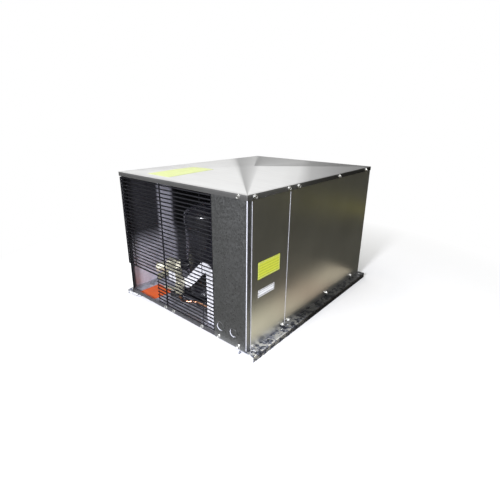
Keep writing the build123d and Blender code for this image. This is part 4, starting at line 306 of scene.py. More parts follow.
class Finish:
    """A material being made: its shader, and patterns that read the object's own coordinates."""

    def __init__(self, name, base, metallic, roughness):
        self.base = base
        self.material = bpy.data.materials.new(name)
        self.material.use_nodes = True
        self.material.diffuse_color = (*base, 1)
        self.tree = self.material.node_tree
        self.shader = self.tree.nodes["Principled BSDF"]
        self.set("Base Color", (*base, 1))
        self.set("Metallic", metallic)
        self.set("Roughness", roughness)
        self.place = self.add("TexCoord").outputs["Object"]

    def add(self, kind, inputs=None, **options):
        """A node of this material."""
        return add_node(self.tree, kind, inputs, **options)

    def set(self, socket, value):
        """A constant, set on the shader's own socket."""
        self.shader.inputs[socket].default_value = value

    def feed(self, socket, output):
        """A pattern, linked to the shader."""
        self.tree.links.new(output, self.shader.inputs[socket])

    def noise(self, scale, detail=4.0, stretch=(1, 1, 1), distortion=0.0):
        """Cloudy variation from 0 to 1."""
        scaled = self.add("Mapping", {"Scale": stretch, "Vector": self.place}).outputs["Vector"]
        inputs = {"Scale": scale, "Detail": detail, "Distortion": distortion, "Vector": scaled}
        return self.add("TexNoise", inputs).outputs["Fac"]

    def crystals(self, size):
        """One shade for each zinc crystal, from 0 to 1, with uneven borders."""
        warp = self.add("TexNoise", {"Scale": 1.5 / size, "Detail": 2, "Vector": self.place})
        inputs = {0: warp.outputs["Color"], 1: (0.9 * size,) * 3, 2: self.place}
        bent = self.add("VectorMath", inputs, operation="MULTIPLY_ADD")
        cells = self.add("TexVoronoi", {"Scale": 1 / size, "Vector": bent.outputs["Vector"]})
        return self.add("SeparateColor", {"Color": cells.outputs["Color"]}).outputs["Red"]

    def blend(self, first, second, share):
        """Two patterns mixed by a fixed share of the second."""
        mix = self.add("Mix", {"Factor": share, "A": first, "B": second}, data_type="FLOAT")
        return mix.outputs["Result"]

    def gradient(self, kind, place, turn=(0, 0, 0), stretch=1.0):
        """A plain gradient from 0 to 1, laid out on the object."""
        inputs = {"Location": place, "Rotation": turn, "Scale": (stretch,) * 3, "Vector": self.place}
        mapped = self.add("Mapping", inputs).outputs["Vector"]
        return self.add("TexGradient", {"Vector": mapped}, gradient_type=kind).outputs["Fac"]

    def between(self, low, high, turn=(0, 0, 0)):
        """A gradient between two places along X, or along the axis that the turn brings there."""
        stretch = 1 / (high - low)
        return self.gradient("LINEAR", (-low * stretch, 0, 0), turn, stretch)

    def ramp(self, pattern, *stops):
        """Colours along a pattern; each stop is a place from 0 to 1 and a colour."""
        ramp = self.add("ValToRGB", {"Fac": pattern})
        ramp.color_ramp.elements.remove(ramp.color_ramp.elements[1])
        ramp.color_ramp.elements[0].position = stops[0][0]
        ramp.color_ramp.elements[0].color = (*stops[0][1], 1)
        for where, shade_there in stops[1:]:
            ramp.color_ramp.elements.new(where).color = (*shade_there, 1)
        return ramp.outputs["Color"]

    def product(self, first, second):
        """Two patterns or colours multiplied."""
        return self.add("VectorMath", {0: first, 1: second}, operation="MULTIPLY").outputs["Vector"]

    def tint(self, pattern, *stops):
        """The base colour along a pattern; each stop is a place from 0 to 1 and a colour."""
        self.feed("Base Color", self.ramp(pattern, *stops))

    def shades(self, pattern, *stops):
        """The base colour along a pattern; each stop is a place from 0 to 1 and a factor."""
        self.tint(pattern, *((where, shade(self.base, factor)) for where, factor in stops))

    def darken(self, pattern, *stops):
        """The base colour dimmed along a pattern; each stop is a place from 0 to 1 and a factor."""
        factors = self.ramp(pattern, *((where, (factor,) * 3) for where, factor in stops))
        colour_now = self.shader.inputs["Base Color"].links[0].from_socket
        self.feed("Base Color", self.product(colour_now, factors))

    def drive(self, socket, pattern, low, high):
        """A shader value along a pattern."""
        spread = self.add("MapRange", {"To Min": low, "To Max": high, "Value": pattern})
        self.feed(socket, spread.outputs["Result"])

    def gloss(self, pattern, low, high):
        """The roughness along a pattern."""
        self.drive("Roughness", pattern, low, high)

    def relief(self, pattern, height, strength=0.5):
        """Bumps of a height in metres."""
        bump = self.add("Bump", {"Strength": strength, "Distance": height, "Height": pattern})
        self.feed("Normal", bump.outputs["Normal"])


def smooth_galvanised(name, base, size):
    """Side panels: tight, faint spangle that mirrors softly, with rubbed patches."""
    finish = Finish(name, base, 1.0, 0.3)
    clouds = finish.noise(7, 3)
    finish.shades(finish.blend(finish.crystals(size), clouds, 0.95), (0.2, 0.88), (0.85, 1.1))
    finish.gloss(clouds, 0.278, 0.32)
    return finish.material


def two_faced_sheet(name, outer, inner, size):
    """Left side panel: outside like the other panels, and inside the same zinc tinted pale violet, painted as
    bright as where light falls on it, where it scatters light.
    """
    finish = Finish(name, outer, 1.0, 0.3)
    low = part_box("left_panel")[0]
    inside = finish.between(low.x + 0.0004, low.x + 0.0008)
    mixed = finish.blend(finish.crystals(size), finish.noise(7, 3), 0.7)
    # Painted light: the inner face tinted pale violet, a lit copy of the outer zinc
    finish.tint(inside, (0.3, outer), (0.7, inner))
    finish.darken(mixed, (0.2, 0.82), (0.8, 1.0))
    # Painted reflection: the base colour darkened where the inner face mirrors dark surroundings: above,
    # except in a strip, and behind the strip
    along = finish.between(*LEFT_SPAN, REAR_TO_RIGHT)
    outside_strip = finish.ramp(along, *((where, (share,) * 3) for where, share in LEFT_STRIP))
    high_up = finish.between(*LEFT_CLIMB, UP_TO_RIGHT)
    finish.darken(finish.product(high_up, outside_strip), (0.1, 1.0), (0.9, 0.08))
    finish.darken(along, (0.68, 1.0), (0.78, 0.12))
    # Painted shade: the base colour darkened almost to black along the front edge
    shaded_front_edge = finish.between(low.y + 0.002, low.y + 0.02, REAR_TO_RIGHT)
    finish.darken(shaded_front_edge, (0.5, 0.03), (0.7, 1.0))
    finish.drive("Metallic", inside, 1.0, 0.35)
    finish.gloss(inside, 0.28, 0.5)
    finish.relief(mixed, 0.00004, 0.2)
    return finish.material


def pale_sheet(name, base, size, metallic=0.35):
    """Inner plates and straps: spangled zinc tinted pale, painted as bright as where light falls on it, that
    scatters light.
    """
    finish = Finish(name, base, metallic, 0.48)
    mixed = finish.blend(finish.crystals(size), finish.noise(12, 4), 0.5)
    finish.shades(mixed, (0.2, 0.84), (0.75, 1))
    finish.gloss(mixed, 0.36, 0.56)
    finish.relief(mixed, 0.00005, 0.3)
    return finish.material


def spangled_galvanised(name, base, size):
    """Front panel: dull zinc with crystals of differing shade and gloss."""
    finish = Finish(name, base, 0.92, 0.42)
    mixed = finish.blend(finish.crystals(size), finish.crystals(size / 2.4), 0.4)
    clouded = finish.blend(mixed, finish.noise(9, 3), 0.25)
    finish.shades(clouded, (0.15, 0.92 / 1.2), (0.5, 1), (0.85, 1.2))
    finish.gloss(mixed, 0.26, 0.5)
    finish.relief(mixed, 0.00006, 0.35)
    return finish.material


def pan_sheet(name, base, size):
    """Base pan: pale spangled floor, with painted shade darkening its lip in front."""
    finish = Finish(name, base, 0.55, 0.4)
    mixed = finish.blend(finish.crystals(size), finish.noise(12, 4), 0.5)
    finish.shades(mixed, (0.2, 0.7), (0.75, 1))
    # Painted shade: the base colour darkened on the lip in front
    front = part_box("base_pan")[0].y
    lip = finish.between(front + 0.0002, front + 0.0016, REAR_TO_RIGHT)
    finish.darken(lip, (0.2, 0.12), (0.8, 1.0))
    finish.gloss(mixed, 0.26, 0.46)
    finish.relief(mixed, 0.00005, 0.3)
    return finish.material


def rail_sheet(name, base, size):
    """Rails: heavy zinc with large bright crystals, and a painted reflection that darkens them behind the
    front.
    """
    finish = Finish(name, base, 0.9, 0.3)
    mixed = finish.blend(finish.crystals(size), finish.crystals(size / 2.2), 0.35)
    finish.shades(mixed, (0.25, 0.15), (0.45, 0.7), (0.62, 2.0))
    # Painted reflection: the base colour darkened towards the back
    finish.darken(finish.between(*RAIL_SPAN, REAR_TO_RIGHT), *RAIL_REFLECTION_FADE)
    finish.gloss(mixed, 0.42, 0.18)
    finish.relief(mixed, 0.00008, 0.4)
    return finish.material


def brushed_cover(name, base):
    """Top cover: bright sheet with faint rolling streaks, and painted reflections: the light and dark that
    its slopes mirror, painted into its colour.
    """
    finish = Finish(name, base, 0.85, 0.34)
    streaks = finish.noise(26, 6, (0.35, 5, 1), 0.3)
    mixed = finish.blend(streaks, finish.noise(3.2, 3), 0.4)
    finish.shades(mixed, (0.25, 0.9), (0.55, 1), (0.8, 1.06))
    low, high = cad_cover
    # Painted reflections: the base colour darkened in a wedge from the near corner, on the back slope,
    # towards the far corner and on the lip
    finish.darken(finish.gradient("RADIAL", (-high.x, -low.y, 0)), *COVER_WEDGE_REFLECTION)
    finish.darken(finish.gradient("RADIAL", (0, 0, 0)), *COVER_BACK_SLOPE_REFLECTION)
    finish.darken(finish.between(*FAR_SPAN, FAR_TURN), *COVER_FAR_CORNER_REFLECTION)
    finish.darken(finish.between(low.z, high.z, UP_TO_RIGHT), *COVER_LIP_REFLECTION)
    finish.gloss(streaks, 0.26, 0.44)
    finish.relief(streaks, 0.00005, 0.2)
    return finish.material


def plated_steel(name, base, low, high):
    """Zinc-plated screws and machined steel: fine grain and small bright spots."""
    finish = Finish(name, base, 1.0, 0.3)
    grain = finish.noise(700, 4)
    finish.shades(grain, (0.3, 0.7), (0.7, 1.2))
    finish.gloss(grain, low, high)
    return finish.material


def enamel(name, base, dust, roughness, coat=0.0, shine=0.5):
    """Sprayed enamel with orange peel and a little dust."""
    finish = Finish(name, base, 0.0, roughness)
    finish.set("Specular IOR Level", shine)
    finish.set("Coat Weight", coat)
    finish.set("Coat Roughness", 0.12)
    finish.tint(finish.noise(14, 5), (0.42, base), (0.78, dust))
    finish.gloss(finish.noise(40, 4), roughness * 0.8, roughness * 1.35)
    finish.relief(finish.noise(420, 2), 0.00012, 0.3)
    return finish.material


def brass(name, base):
    """Forged brass: a sandy skin with duller hollows."""
    finish = Finish(name, base, 0.7, 0.36)
    patches = finish.noise(60, 5)
    finish.shades(patches, (0.3, 0.7), (0.55, 1), (0.8, 1.15))
    finish.gloss(patches, 0.22, 0.42)
    finish.relief(finish.noise(900, 3), 0.0001, 0.35)
    return finish.material


def copper(name, base):
    """Drawn copper with brown heat marks."""
    finish = Finish(name, base, 1.0, 0.28)
    patches = finish.noise(24, 5, distortion=0.6)
    finish.tint(patches, (0.34, HEAT_MARK), (0.5, base), (0.75, shade(base, 1.18)))
    finish.gloss(patches, 0.42, 0.2)
    return finish.material


def fin_aluminium(name, base):
    """Fin stock: satin aluminium, dulled towards a dusty grey."""
    finish = Finish(name, base, 0.9, 0.4)
    clouds = finish.noise(18, 5)
    finish.shades(clouds, (0.3, 0.66), (0.65, 1))
    finish.gloss(clouds, 0.5, 0.3)
    finish.relief(finish.noise(300, 3, (1, 1, 0.3)), 0.0001, 0.3)
    return finish.material


def moulded_plastic(name, base, roughness):
    """Moulded plastic with a fine even grain."""
    finish = Finish(name, base, 0.0, roughness)
    clouds = finish.noise(35, 4)
    finish.shades(clouds, (0.3, 0.82), (0.7, 1.15))
    finish.gloss(clouds, roughness * 0.85, min(1.0, roughness * 1.2))
    finish.relief(finish.noise(1500, 2), 0.00008, 0.3)
    return finish.material


def sight_glass(name):
    """The clear lens, with a faint green tint."""
    finish = Finish(name, (0.82, 0.95, 0.88), 0.0, 0.04)
    finish.tint(finish.noise(200, 2), (0.3, (0.74, 0.92, 0.82)), (0.7, (0.88, 0.98, 0.93)))
    finish.set("Transmission Weight", 0.8)
    finish.set("IOR", 1.5)
    return finish.material


def sticker(name, base, roughness=0.4):
    """Printed film: slightly mottled, with scuffs that dull it."""
    finish = Finish(name, base, 0.0, roughness)
    finish.shades(finish.noise(70, 5), (0.3, 0.86), (0.7, 1))
    finish.gloss(finish.noise(24, 4), roughness * 0.7, min(1.0, roughness * 1.4))
    return finish.material


def faint_print(name, base):
    """A sticker with soft rows where a real one has its text; the rows say nothing."""
    finish = Finish(name, base, 0.0, 0.42)
    inputs = {"Scale": 38, "Distortion": 1.5, "Detail": 3, "Detail Scale": 6, "Vector": finish.place}
    rows = finish.add("TexWave", inputs, bands_direction="Z")
    mixed = finish.blend(rows.outputs["Fac"], finish.noise(160, 4), 0.35)
    finish.shades(mixed, (0.25, 0.74), (0.5, 1))
    finish.gloss(mixed, 0.5, 0.36)
    return finish.material


def make_materials(sheet, plates):
    """Every finish of the unit, by the name of the pieces that it suits."""
    size = sheet.spangle
    return {
        "panel": smooth_galvanised("galvanised_panel", sheet.panel_colour[:], size * 0.6),
        "front": spangled_galvanised("galvanised_front", sheet.front_colour[:], size * 0.5),
        "left": two_faced_sheet("galvanised_left", sheet.panel_colour[:], sheet.lit_inner_colour[:], size),
        # Painted light: the inner plates' zinc tinted pale violet, as bright as where light falls on it
        "inner": pale_sheet("galvanised_inside", sheet.lit_inner_colour[:], size),
        "cover": brushed_cover("galvanised_cover", sheet.cover_colour[:]),
        "base": pan_sheet("galvanised_pan", sheet.base_colour[:], size),
        "rail": rail_sheet("galvanised_rail", sheet.rail_colour[:], size * 1.4),
        # Painted light: the straps' zinc tinted near white, as bright as where light falls on it
        "strap": pale_sheet("galvanised_strap", sheet.lit_strap_colour[:], size, 0.2),
        # Painted highlight: a pale, barely metallic finish that stands in for the light on rolled edges and
        # knock-out rims
        "edge": pale_sheet("bright_edge", (0.64, 0.65, 0.72), size * 0.4, 0.3),
        "screw": plated_steel("zinc_screw", (0.80, 0.80, 0.78), 0.18, 0.36),
        "shaft": plated_steel("ground_steel", (0.58, 0.58, 0.58), 0.14, 0.28),
        "wire": enamel("coated_wire", (0.006, 0.006, 0.008), (0.012, 0.012, 0.014), 0.5, shine=0.15),
        "shell": enamel("black_shell", (0.007, 0.007, 0.010), (0.018, 0.018, 0.024), 0.26, coat=0.7),
        "motor": enamel("grey_motor", (0.10, 0.105, 0.11), (0.18, 0.18, 0.18), 0.45),
        "drier": enamel("white_drier", (0.78, 0.79, 0.76), (0.62, 0.60, 0.54), 0.32, coat=0.4),
        "brass": brass("forged_brass", (0.88, 0.85, 0.68)),
        "copper": copper("drawn_copper", (0.82, 0.44, 0.28)),
        "fin": fin_aluminium("fin_aluminium", (0.74, 0.75, 0.76)),
        "blade": fin_aluminium("blade_aluminium", (0.66, 0.67, 0.68)),
        "black": moulded_plastic("black_plastic", (0.022, 0.022, 0.025), 0.5),
        "cream": moulded_plastic("cream_plastic", (0.66, 0.60, 0.45), 0.5),
        "rubber": moulded_plastic("black_rubber", (0.02, 0.02, 0.02), 0.75),
        "conduit": moulded_plastic("grey_conduit", (0.26, 0.27, 0.28), 0.42),
        "weld": enamel("black_weld", (0.008, 0.008, 0.009), (0.02, 0.02, 0.02), 0.55, shine=0.12),
        "glass": sight_glass("sight_lens"),
        "yellow": faint_print("yellow_sticker", plates.yellow[:]),
        "pale_yellow": sticker("pale_yellow_sticker", plates.pale_yellow[:]),
        "white": faint_print("white_sticker", plates.white[:]),
        "orange": sticker("orange_card", plates.orange[:], 0.34),
        "silver": plated_steel("silver_plate", plates.silver[:], 0.3, 0.45),
    }


NODE_FINISHES = {
    "cover": ("top_cover",),
    "front": ("front_panel",),
    "panel": ("right_panel", "access_panel"),
    "left": ("left_panel",),
    "inner": ("fan_shroud", "control_box"),
    "base": ("base_pan", "receiver_saddles", "fan_motor_bracket"),
    "rail": ("left_rail", "right_rail"),
    "strap": ("valve_bracket", "drier_clamp", "capacitor_band", "left_tube_sheet", "right_tube_sheet"),
    "screw": (
        "hood_screws", "access_panel_screws", "floor_screws", "rail_bolts", "compressor_bolts",
        "motor_bracket_bolts",
    ),
    "wire": ("grille_upper_wires", "grille_lower_wires", "grille_frame_bars"),
    "shell": ("compressor_shell", "compressor_foot_plate", "receiver"),
    "motor": ("fan_motor",),
    "drier": ("filter_drier",),
    "brass": (
        "suction_valve_body", "suction_valve_cap", "liquid_valve_body", "liquid_valve_cap",
        "receiver_valve", "sight_glass_body",
    ),
    "copper": (
        "discharge_line", "condensate_line", "liquid_line", "receiver_outlet_line", "coil_headers",
        "left_return_bends", "right_return_bends",
    ),
    "fin": ("coil_fin_pack",),
    "blade": ("fan_blades", "fan_hub", "run_capacitor"),
    "shaft": ("fan_shaft", "suction_valve_stem", "liquid_valve_stem"),
    "black": ("compressor_terminal_box", "contactor_body", "contactor_armature"),
    "cream": ("terminal_block",),
    "rubber": ("compressor_grommets",),
    "glass": ("sight_glass_lens",),
    "conduit": ("compressor_conduit", "fan_conduit", "conduit_fittings"),
}


# Mesh tools


def placed(name, shape):
    """A bmesh as an object in the scene."""
    mesh = bpy.data.meshes.new(name)
    shape.to_mesh(mesh)
    shape.free()
    item = bpy.data.objects.new(name, mesh)
    bpy.context.scene.collection.objects.link(item)
    return item


def finished(name, shape, finish, body, soft=True):
    """Turns a bmesh into a piece that rides on a body; `soft` shades its low angles as round."""
    bmesh.ops.recalc_face_normals(shape, faces=shape.faces)
    piece = placed(name, shape)
    piece.data.materials.append(finish_named(finish))
    if soft:
        piece.data.shade_smooth()
        piece.data.set_sharp_from_angle(angle=SOFT_BELOW)
    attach(piece, body)
    return piece


def bevel(shape, edges, offset, segments):
    """Edges cut or rounded; the vertices of the new faces."""
    return bmesh.ops.bevel(
        shape, geom=edges, offset=offset, offset_type="OFFSET", segments=segments,
        profile=0.5, affect="EDGES", material=-1,
    )["verts"]


def raise_faces(shape, offset):
    """Gives flat faces a thickness."""
    raised = bmesh.ops.extrude_face_region(shape, geom=shape.faces[:])["geom"]
    corners = [item for item in raised if isinstance(item, bmesh.types.BMVert)]
    bmesh.ops.translate(shape, vec=offset, verts=corners)


def add_box(shape, low, high):
    """A box between two corners."""
    made = bmesh.ops.create_cube(shape, size=1)["verts"]
    low = Vector(low)
    high = Vector(high)
    bmesh.ops.scale(shape, vec=high - low, verts=made)
    bmesh.ops.translate(shape, vec=(low + high) / 2, verts=made)
    return made


def turn_to(axis):
    """The rotation that takes +Z to an axis."""
    return UP.rotation_difference(Vector(axis)).to_matrix()


def add_disc(shape, centre, axis, radius, height, sides, top_radius=None):
    """A round or many-sided bar that stands on its centre along the axis."""
    made = bmesh.ops.create_cone(
        shape,
        cap_ends=True,
        segments=sides,
        radius1=radius,
        radius2=radius if top_radius is None else top_radius,
        depth=height,
    )["verts"]
    bmesh.ops.translate(shape, vec=(0, 0, height / 2), verts=made)
    bmesh.ops.rotate(shape, cent=(0, 0, 0), matrix=turn_to(axis), verts=made)
    bmesh.ops.translate(shape, vec=centre, verts=made)
    return made


def add_ring(shape, centre, axis, radius, thick, steps=48, sides=8):
    """A closed bead round an axis."""
    made = bmesh.ops.create_circle(shape, segments=sides, radius=thick)["verts"]
    edges = list({edge for vert in made for edge in vert.link_edges})
    bmesh.ops.rotate(shape, cent=(0, 0, 0), matrix=Matrix.Rotation(math.pi / 2, 3, "X"), verts=made)
    bmesh.ops.translate(shape, vec=(radius, 0, 0), verts=made)
    bmesh.ops.spin(
        shape,
        geom=made + edges,
        cent=(0, 0, 0),
        axis=(0, 0, 1),
        angle=2 * math.pi,
        steps=steps,
        use_merge=True,
    )
    whole = linked(made[0])
    bmesh.ops.rotate(shape, cent=(0, 0, 0), matrix=turn_to(axis), verts=whole)
    bmesh.ops.translate(shape, vec=centre, verts=whole)
    return whole


def linked(start):
    """Every vertex joined to this one by edges."""
    found = {start}
    waiting = [start]
    while waiting:
        for edge in waiting.pop().link_edges:
            for vert in edge.verts:
                if vert not in found:
                    found.add(vert)
                    waiting.append(vert)
    return list(found)


def solids_of(node):
    """The lowest and highest corner of each separate solid in a node, in the order of their places."""
    shape = bmesh.new()
    shape.from_mesh(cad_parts[node].data)
    bmesh.ops.remove_doubles(shape, verts=shape.verts, dist=1e-6)
    left = set(shape.verts)
    boxes = []
    while left:
        group = linked(next(iter(left)))
        left.difference_update(group)
        corners = [vert.co for vert in group]
        low = Vector([min(corner[i] for corner in corners) for i in range(3)])
        high = Vector([max(corner[i] for corner in corners) for i in range(3)])
        boxes.append((low, high))
    shape.free()
    return sorted(boxes, key=lambda box: [round(value, 4) for value in box[0]])


# Operators


class UNIT_OT_finishes(bpy.types.Operator):
    """Give every part of the unit its finish"""

    bl_idname = "unit.finishes"
    bl_label = "Finishes"

    def execute(self, context):
        scene = context.scene
        made = make_materials(scene.unit_sheet, scene.unit_plates)
        for finish, names in NODE_FINISHES.items():
            for name in names:
                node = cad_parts[name]
                node.data.materials.clear()
                node.data.materials.append(made[finish])
        for key, material in made.items():
            material["unit_finish"] = key
        return {"FINISHED"}


def finish_named(key):
    """The finished material of that name."""
    for material in bpy.data.materials:
        if material.get("unit_finish") == key:
            return material
    raise RuntimeError("no finish is called " + key)


class UNIT_OT_screws(bpy.types.Operator):
    """Put a flanged hexagonal head with a dimple on each sheet-metal screw"""

    bl_idname = "unit.screws"
    bl_label = "Screws"

    def execute(self, context):
        sizes = context.scene.unit_fasteners
        for node, body in (("hood_screws", UNIT), ("access_panel_screws", PANEL)):
            shape = bmesh.new()
            for low, high in solids_of(node):
                self.add_screw(shape, sizes, low, high)
            piece = finished(node + "_detail", shape, "screw", body, soft=False)
            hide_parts(node)
        return {"FINISHED"}

    def add_screw(self, shape, sizes, low, high):
        """One screw whose head points away from the hood."""
        middle = (low + high) / 2
        if high.x - low.x > high.y - low.y:
            out = RIGHT if middle.x > 0 else -RIGHT
        else:
            out = REAR if middle.y > 0 else -REAR
        reach = max(abs(high.dot(out)), abs(low.dot(out)))
        tip = middle + out * (reach - abs(middle.dot(out)))
        seat = tip - out * (sizes.head_height + sizes.flange_height)
        wide = sizes.flange_radius
        add_disc(shape, seat, out, wide, sizes.flange_height, sizes.flange_sides, wide * sizes.flange_taper)
        radius = sizes.across / math.sqrt(3)
        foot = seat + out * sizes.flange_height
        head = add_disc(shape, foot, out, radius, sizes.head_height, 6, radius * sizes.head_taper)
        top = max(
            (face for face in {face for vert in head for face in vert.link_faces}),
            key=lambda face: face.calc_center_median().dot(out),
        )
        bmesh.ops.inset_individual(shape, faces=[top], thickness=radius * sizes.dimple_rim)
        bmesh.ops.translate(shape, vec=-out * sizes.dimple, verts=top.verts[:])


def add_return_bend(shape, sizes, start, end, out, reach):
    """A U-shaped tube from one tube's end to the next, standing out by `reach`."""
    radius = (end - start).length / 2
    straight = reach - radius
    ring = bmesh.ops.create_circle(shape, segments=sizes.tube_sides, radius=sizes.tube_radius)["verts"]
    edges = list({edge for vert in ring for edge in vert.link_edges})
    bmesh.ops.rotate(shape, cent=(0, 0, 0), matrix=turn_to(out), verts=ring)
    bmesh.ops.translate(shape, vec=start, verts=ring)
    grown = bmesh.ops.extrude_edge_only(shape, edges=edges)["geom"]
    ring = [item for item in grown if isinstance(item, bmesh.types.BMVert)]
    edges = [item for item in grown if isinstance(item, bmesh.types.BMEdge)]
    bmesh.ops.translate(shape, vec=out * straight, verts=ring)
    turned = bmesh.ops.spin(
        shape,
        geom=ring + edges,
        cent=(start + end) / 2 + out * straight,
        axis=out.cross(end - start).normalized(),
        angle=-math.pi,
        steps=sizes.bend_steps,
    )["geom_last"]
    edges = [item for item in turned if isinstance(item, bmesh.types.BMEdge)]
    grown = bmesh.ops.extrude_edge_only(shape, edges=edges)["geom"]
    ring = [item for item in grown if isinstance(item, bmesh.types.BMVert)]
    bmesh.ops.translate(shape, vec=-out * straight, verts=ring)


class UNIT_OT_return_bends(bpy.types.Operator):
    """Make the coil's U-shaped return bends round"""

    bl_idname = "unit.return_bends"
    bl_label = "Return bends"

    def execute(self, context):
        sizes = context.scene.unit_coil
        for node, out in (("left_return_bends", -RIGHT), ("right_return_bends", RIGHT)):
            shape = bmesh.new()
            for low, high in solids_of(node):
                middle = (low + high) / 2
                foot = low if out.x > 0 else high
                start = Vector((foot.x, middle.y, low.z + sizes.tube_radius))
                end = Vector((foot.x, middle.y, high.z - sizes.tube_radius))
                add_return_bend(shape, sizes, start, end, out, high.x - low.x - sizes.tube_radius)
            bmesh.ops.holes_fill(shape, edges=shape.edges, sides=sizes.tube_sides)
            piece = finished(node + "_round", shape, "copper", UNIT)
            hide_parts(node)
        return {"FINISHED"}


class UNIT_OT_fins(bpy.types.Operator):
    """Fill the coil with thin fins on round tubes"""

    bl_idname = "unit.fins"
    bl_label = "Fins"

    def execute(self, context):
        sizes = context.scene.unit_coil
        low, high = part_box("coil_fin_pack")
        shape = bmesh.new()
        gaps = int((high.x - low.x) / sizes.fin_pitch)
        pitch = (high.x - low.x - sizes.fin_sheet) / gaps
        for index in range(gaps + 1):
            left = low.x + index * pitch
            add_box(shape, (left, low.y, low.z), (left + sizes.fin_sheet, high.y, high.z))
        fins = finished("coil_fins", shape, "fin", UNIT, soft=False)
        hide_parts("coil_fin_pack")
        shape = bmesh.new()
        middle = (low + high) / 2
        row_pitch = (high.y - low.y) / sizes.rows
        for row in range(sizes.rows):
            y = low.y + (row + 0.5) * row_pitch
            for tube in range(sizes.tubes_high):
                z = middle.z + (tube - (sizes.tubes_high - 1) / 2) * sizes.tube_pitch
                add_disc(shape, (low.x, y, z), RIGHT, sizes.tube_radius, high.x - low.x, sizes.tube_sides)
        finished("coil_tubes", shape, "copper", UNIT)
        return {"FINISHED"}


class UNIT_OT_beads(bpy.types.Operator):
    """Lay the weld beads round the compressor and the receiver"""

    bl_idname = "unit.beads"
    bl_label = "Weld beads"

    def execute(self, context):
        beads = context.scene.unit_beads
        shape = bmesh.new()
        low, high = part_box("compressor_shell")
        foot_low, foot_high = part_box("compressor_foot_plate")
        centre = (foot_low + foot_high) / 2
        for z in (low.z + beads.lower_seam, high.z - beads.upper_seam):
            add_ring(shape, (centre.x, centre.y, z), UP, beads.shell_reach, beads.bead, beads.shell_steps)
        low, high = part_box("receiver")
        middle = (low + high) / 2
        reach = (high.y - low.y) / 2
        for x in (low.x + beads.head, high.x - beads.head):
            add_ring(shape, (x, middle.y, middle.z), RIGHT, reach, beads.bead, beads.head_steps)
        finished("shell_welds", shape, "weld", UNIT)
        return {"FINISHED"}


class UNIT_OT_wires(bpy.types.Operator):
    """Give the grille's cross wires their thick black coating"""

    bl_idname = "unit.wires"
    bl_label = "Grille wires"

    def execute(self, context):
        sizes = context.scene.unit_fasteners
        for node in ("grille_upper_wires", "grille_lower_wires"):
            shape = bmesh.new()
            for low, high in solids_of(node):
                middle = (low + high) / 2
                start = Vector((low.x, middle.y, middle.z))
                add_disc(shape, start, RIGHT, sizes.wire_radius, high.x - low.x, sizes.wire_sides)
            ends = [edge for edge in shape.edges if abs((edge.verts[0].co - edge.verts[1].co).x) < 1e-6]
            bevel(shape, ends, sizes.wire_chamfer, 1)
            piece = finished(node + "_coated", shape, "wire", UNIT)
            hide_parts(node)
        low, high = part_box("grille_upper_wires")
        shape = bmesh.new()
        foot = Vector((low.x + sizes.wire_radius, (low.y + high.y) / 2, low.z))
        add_disc(shape, foot, UP, sizes.end_wire_radius, high.z - low.z, sizes.wire_sides)
        finished("grille_end_wire", shape, "wire", UNIT)
        return {"FINISHED"}


class UNIT_OT_edges(bpy.types.Operator):
    """Lay thin rolled edges along the upright seams of the right side, in a pale finish that paints the
    highlight along them
    """

    bl_idname = "unit.edges"
    bl_label = "Bright edges"

    def execute(self, context):
        sheet = context.scene.unit_sheet
        low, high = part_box("access_panel")
        x = high.x - sheet.edge_sunk
        depths = (low.y + sheet.edge_radius, high.y - sheet.edge_radius)
        self.lay("access_panel_edges", PANEL, low.z, high.z, [(x, y) for y in depths])
        low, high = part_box("front_panel")
        corner = (high.x - sheet.edge_radius, low.y + sheet.edge_radius)
        self.lay("front_panel_edge", UNIT, low.z, high.z, [corner])
        return {"FINISHED"}

    def lay(self, name, body, low, high, places):
        """The upright edges of one panel, between its lowest and highest place."""
        sheet = bpy.context.scene.unit_sheet
        shape = bmesh.new()
        tall = high - low - 2 * sheet.edge_end
        for x, y in places:
            foot = (x, y, low + sheet.edge_end)
            add_disc(shape, foot, UP, sheet.edge_radius, tall, sheet.edge_sides)
        finished(name, shape, "edge", body)


class UNIT_OT_knock_outs(bpy.types.Operator):
    """Press the two knock-outs in, with a pale disc behind each whose crescent paints the highlight on their
    edge
    """

    bl_idname = "unit.knock_outs"
    bl_label = "Knock-outs"

    def execute(self, context):
        sheet = context.scene.unit_sheet
        low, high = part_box("front_panel")
        glint = bmesh.new()
        slug = bmesh.new()
        radius = sheet.knock_out_radius
        sides = sheet.knock_out_sides
        lean = Vector((sheet.crescent, 0, sheet.crescent))
        for inset in sheet.knock_out_insets:
            centre = Vector((high.x - inset, low.y, sheet.knock_out_height))
            # Painted highlight: a pale disc set down and to the left behind each slug, so that a crescent of
            # it shows
            add_disc(glint, centre - lean, -REAR, radius, sheet.glint_sheet, sides)
            add_disc(slug, centre, -REAR, radius, sheet.slug_sheet, sides, radius * sheet.slug_taper)
        finished("knock_out_glints", glint, "edge", UNIT)
        finished("knock_out_slugs", slug, "front", UNIT)
        return {"FINISHED"}


def add_plate(shape, centre, across, up, size, thickness, corner):
    """A thin rounded plate that stands on its centre; `across` and `up` are its directions."""
    out = across.cross(up)
    made = bmesh.ops.create_cube(shape, size=1)["verts"]
    bmesh.ops.scale(shape, vec=(*size, thickness), verts=made)
    uprights = [
        edge
        for edge in {edge for vert in made for edge in vert.link_edges}
        if abs((edge.verts[0].co - edge.verts[1].co).z) > thickness / 2
    ]
    whole = linked(bevel(shape, uprights, corner, 3)[0])
    turn = Matrix((across, up, out)).transposed()
    bmesh.ops.rotate(shape, cent=(0, 0, 0), matrix=turn, verts=whole)
    bmesh.ops.translate(shape, vec=Vector(centre) + out * thickness / 2, verts=whole)


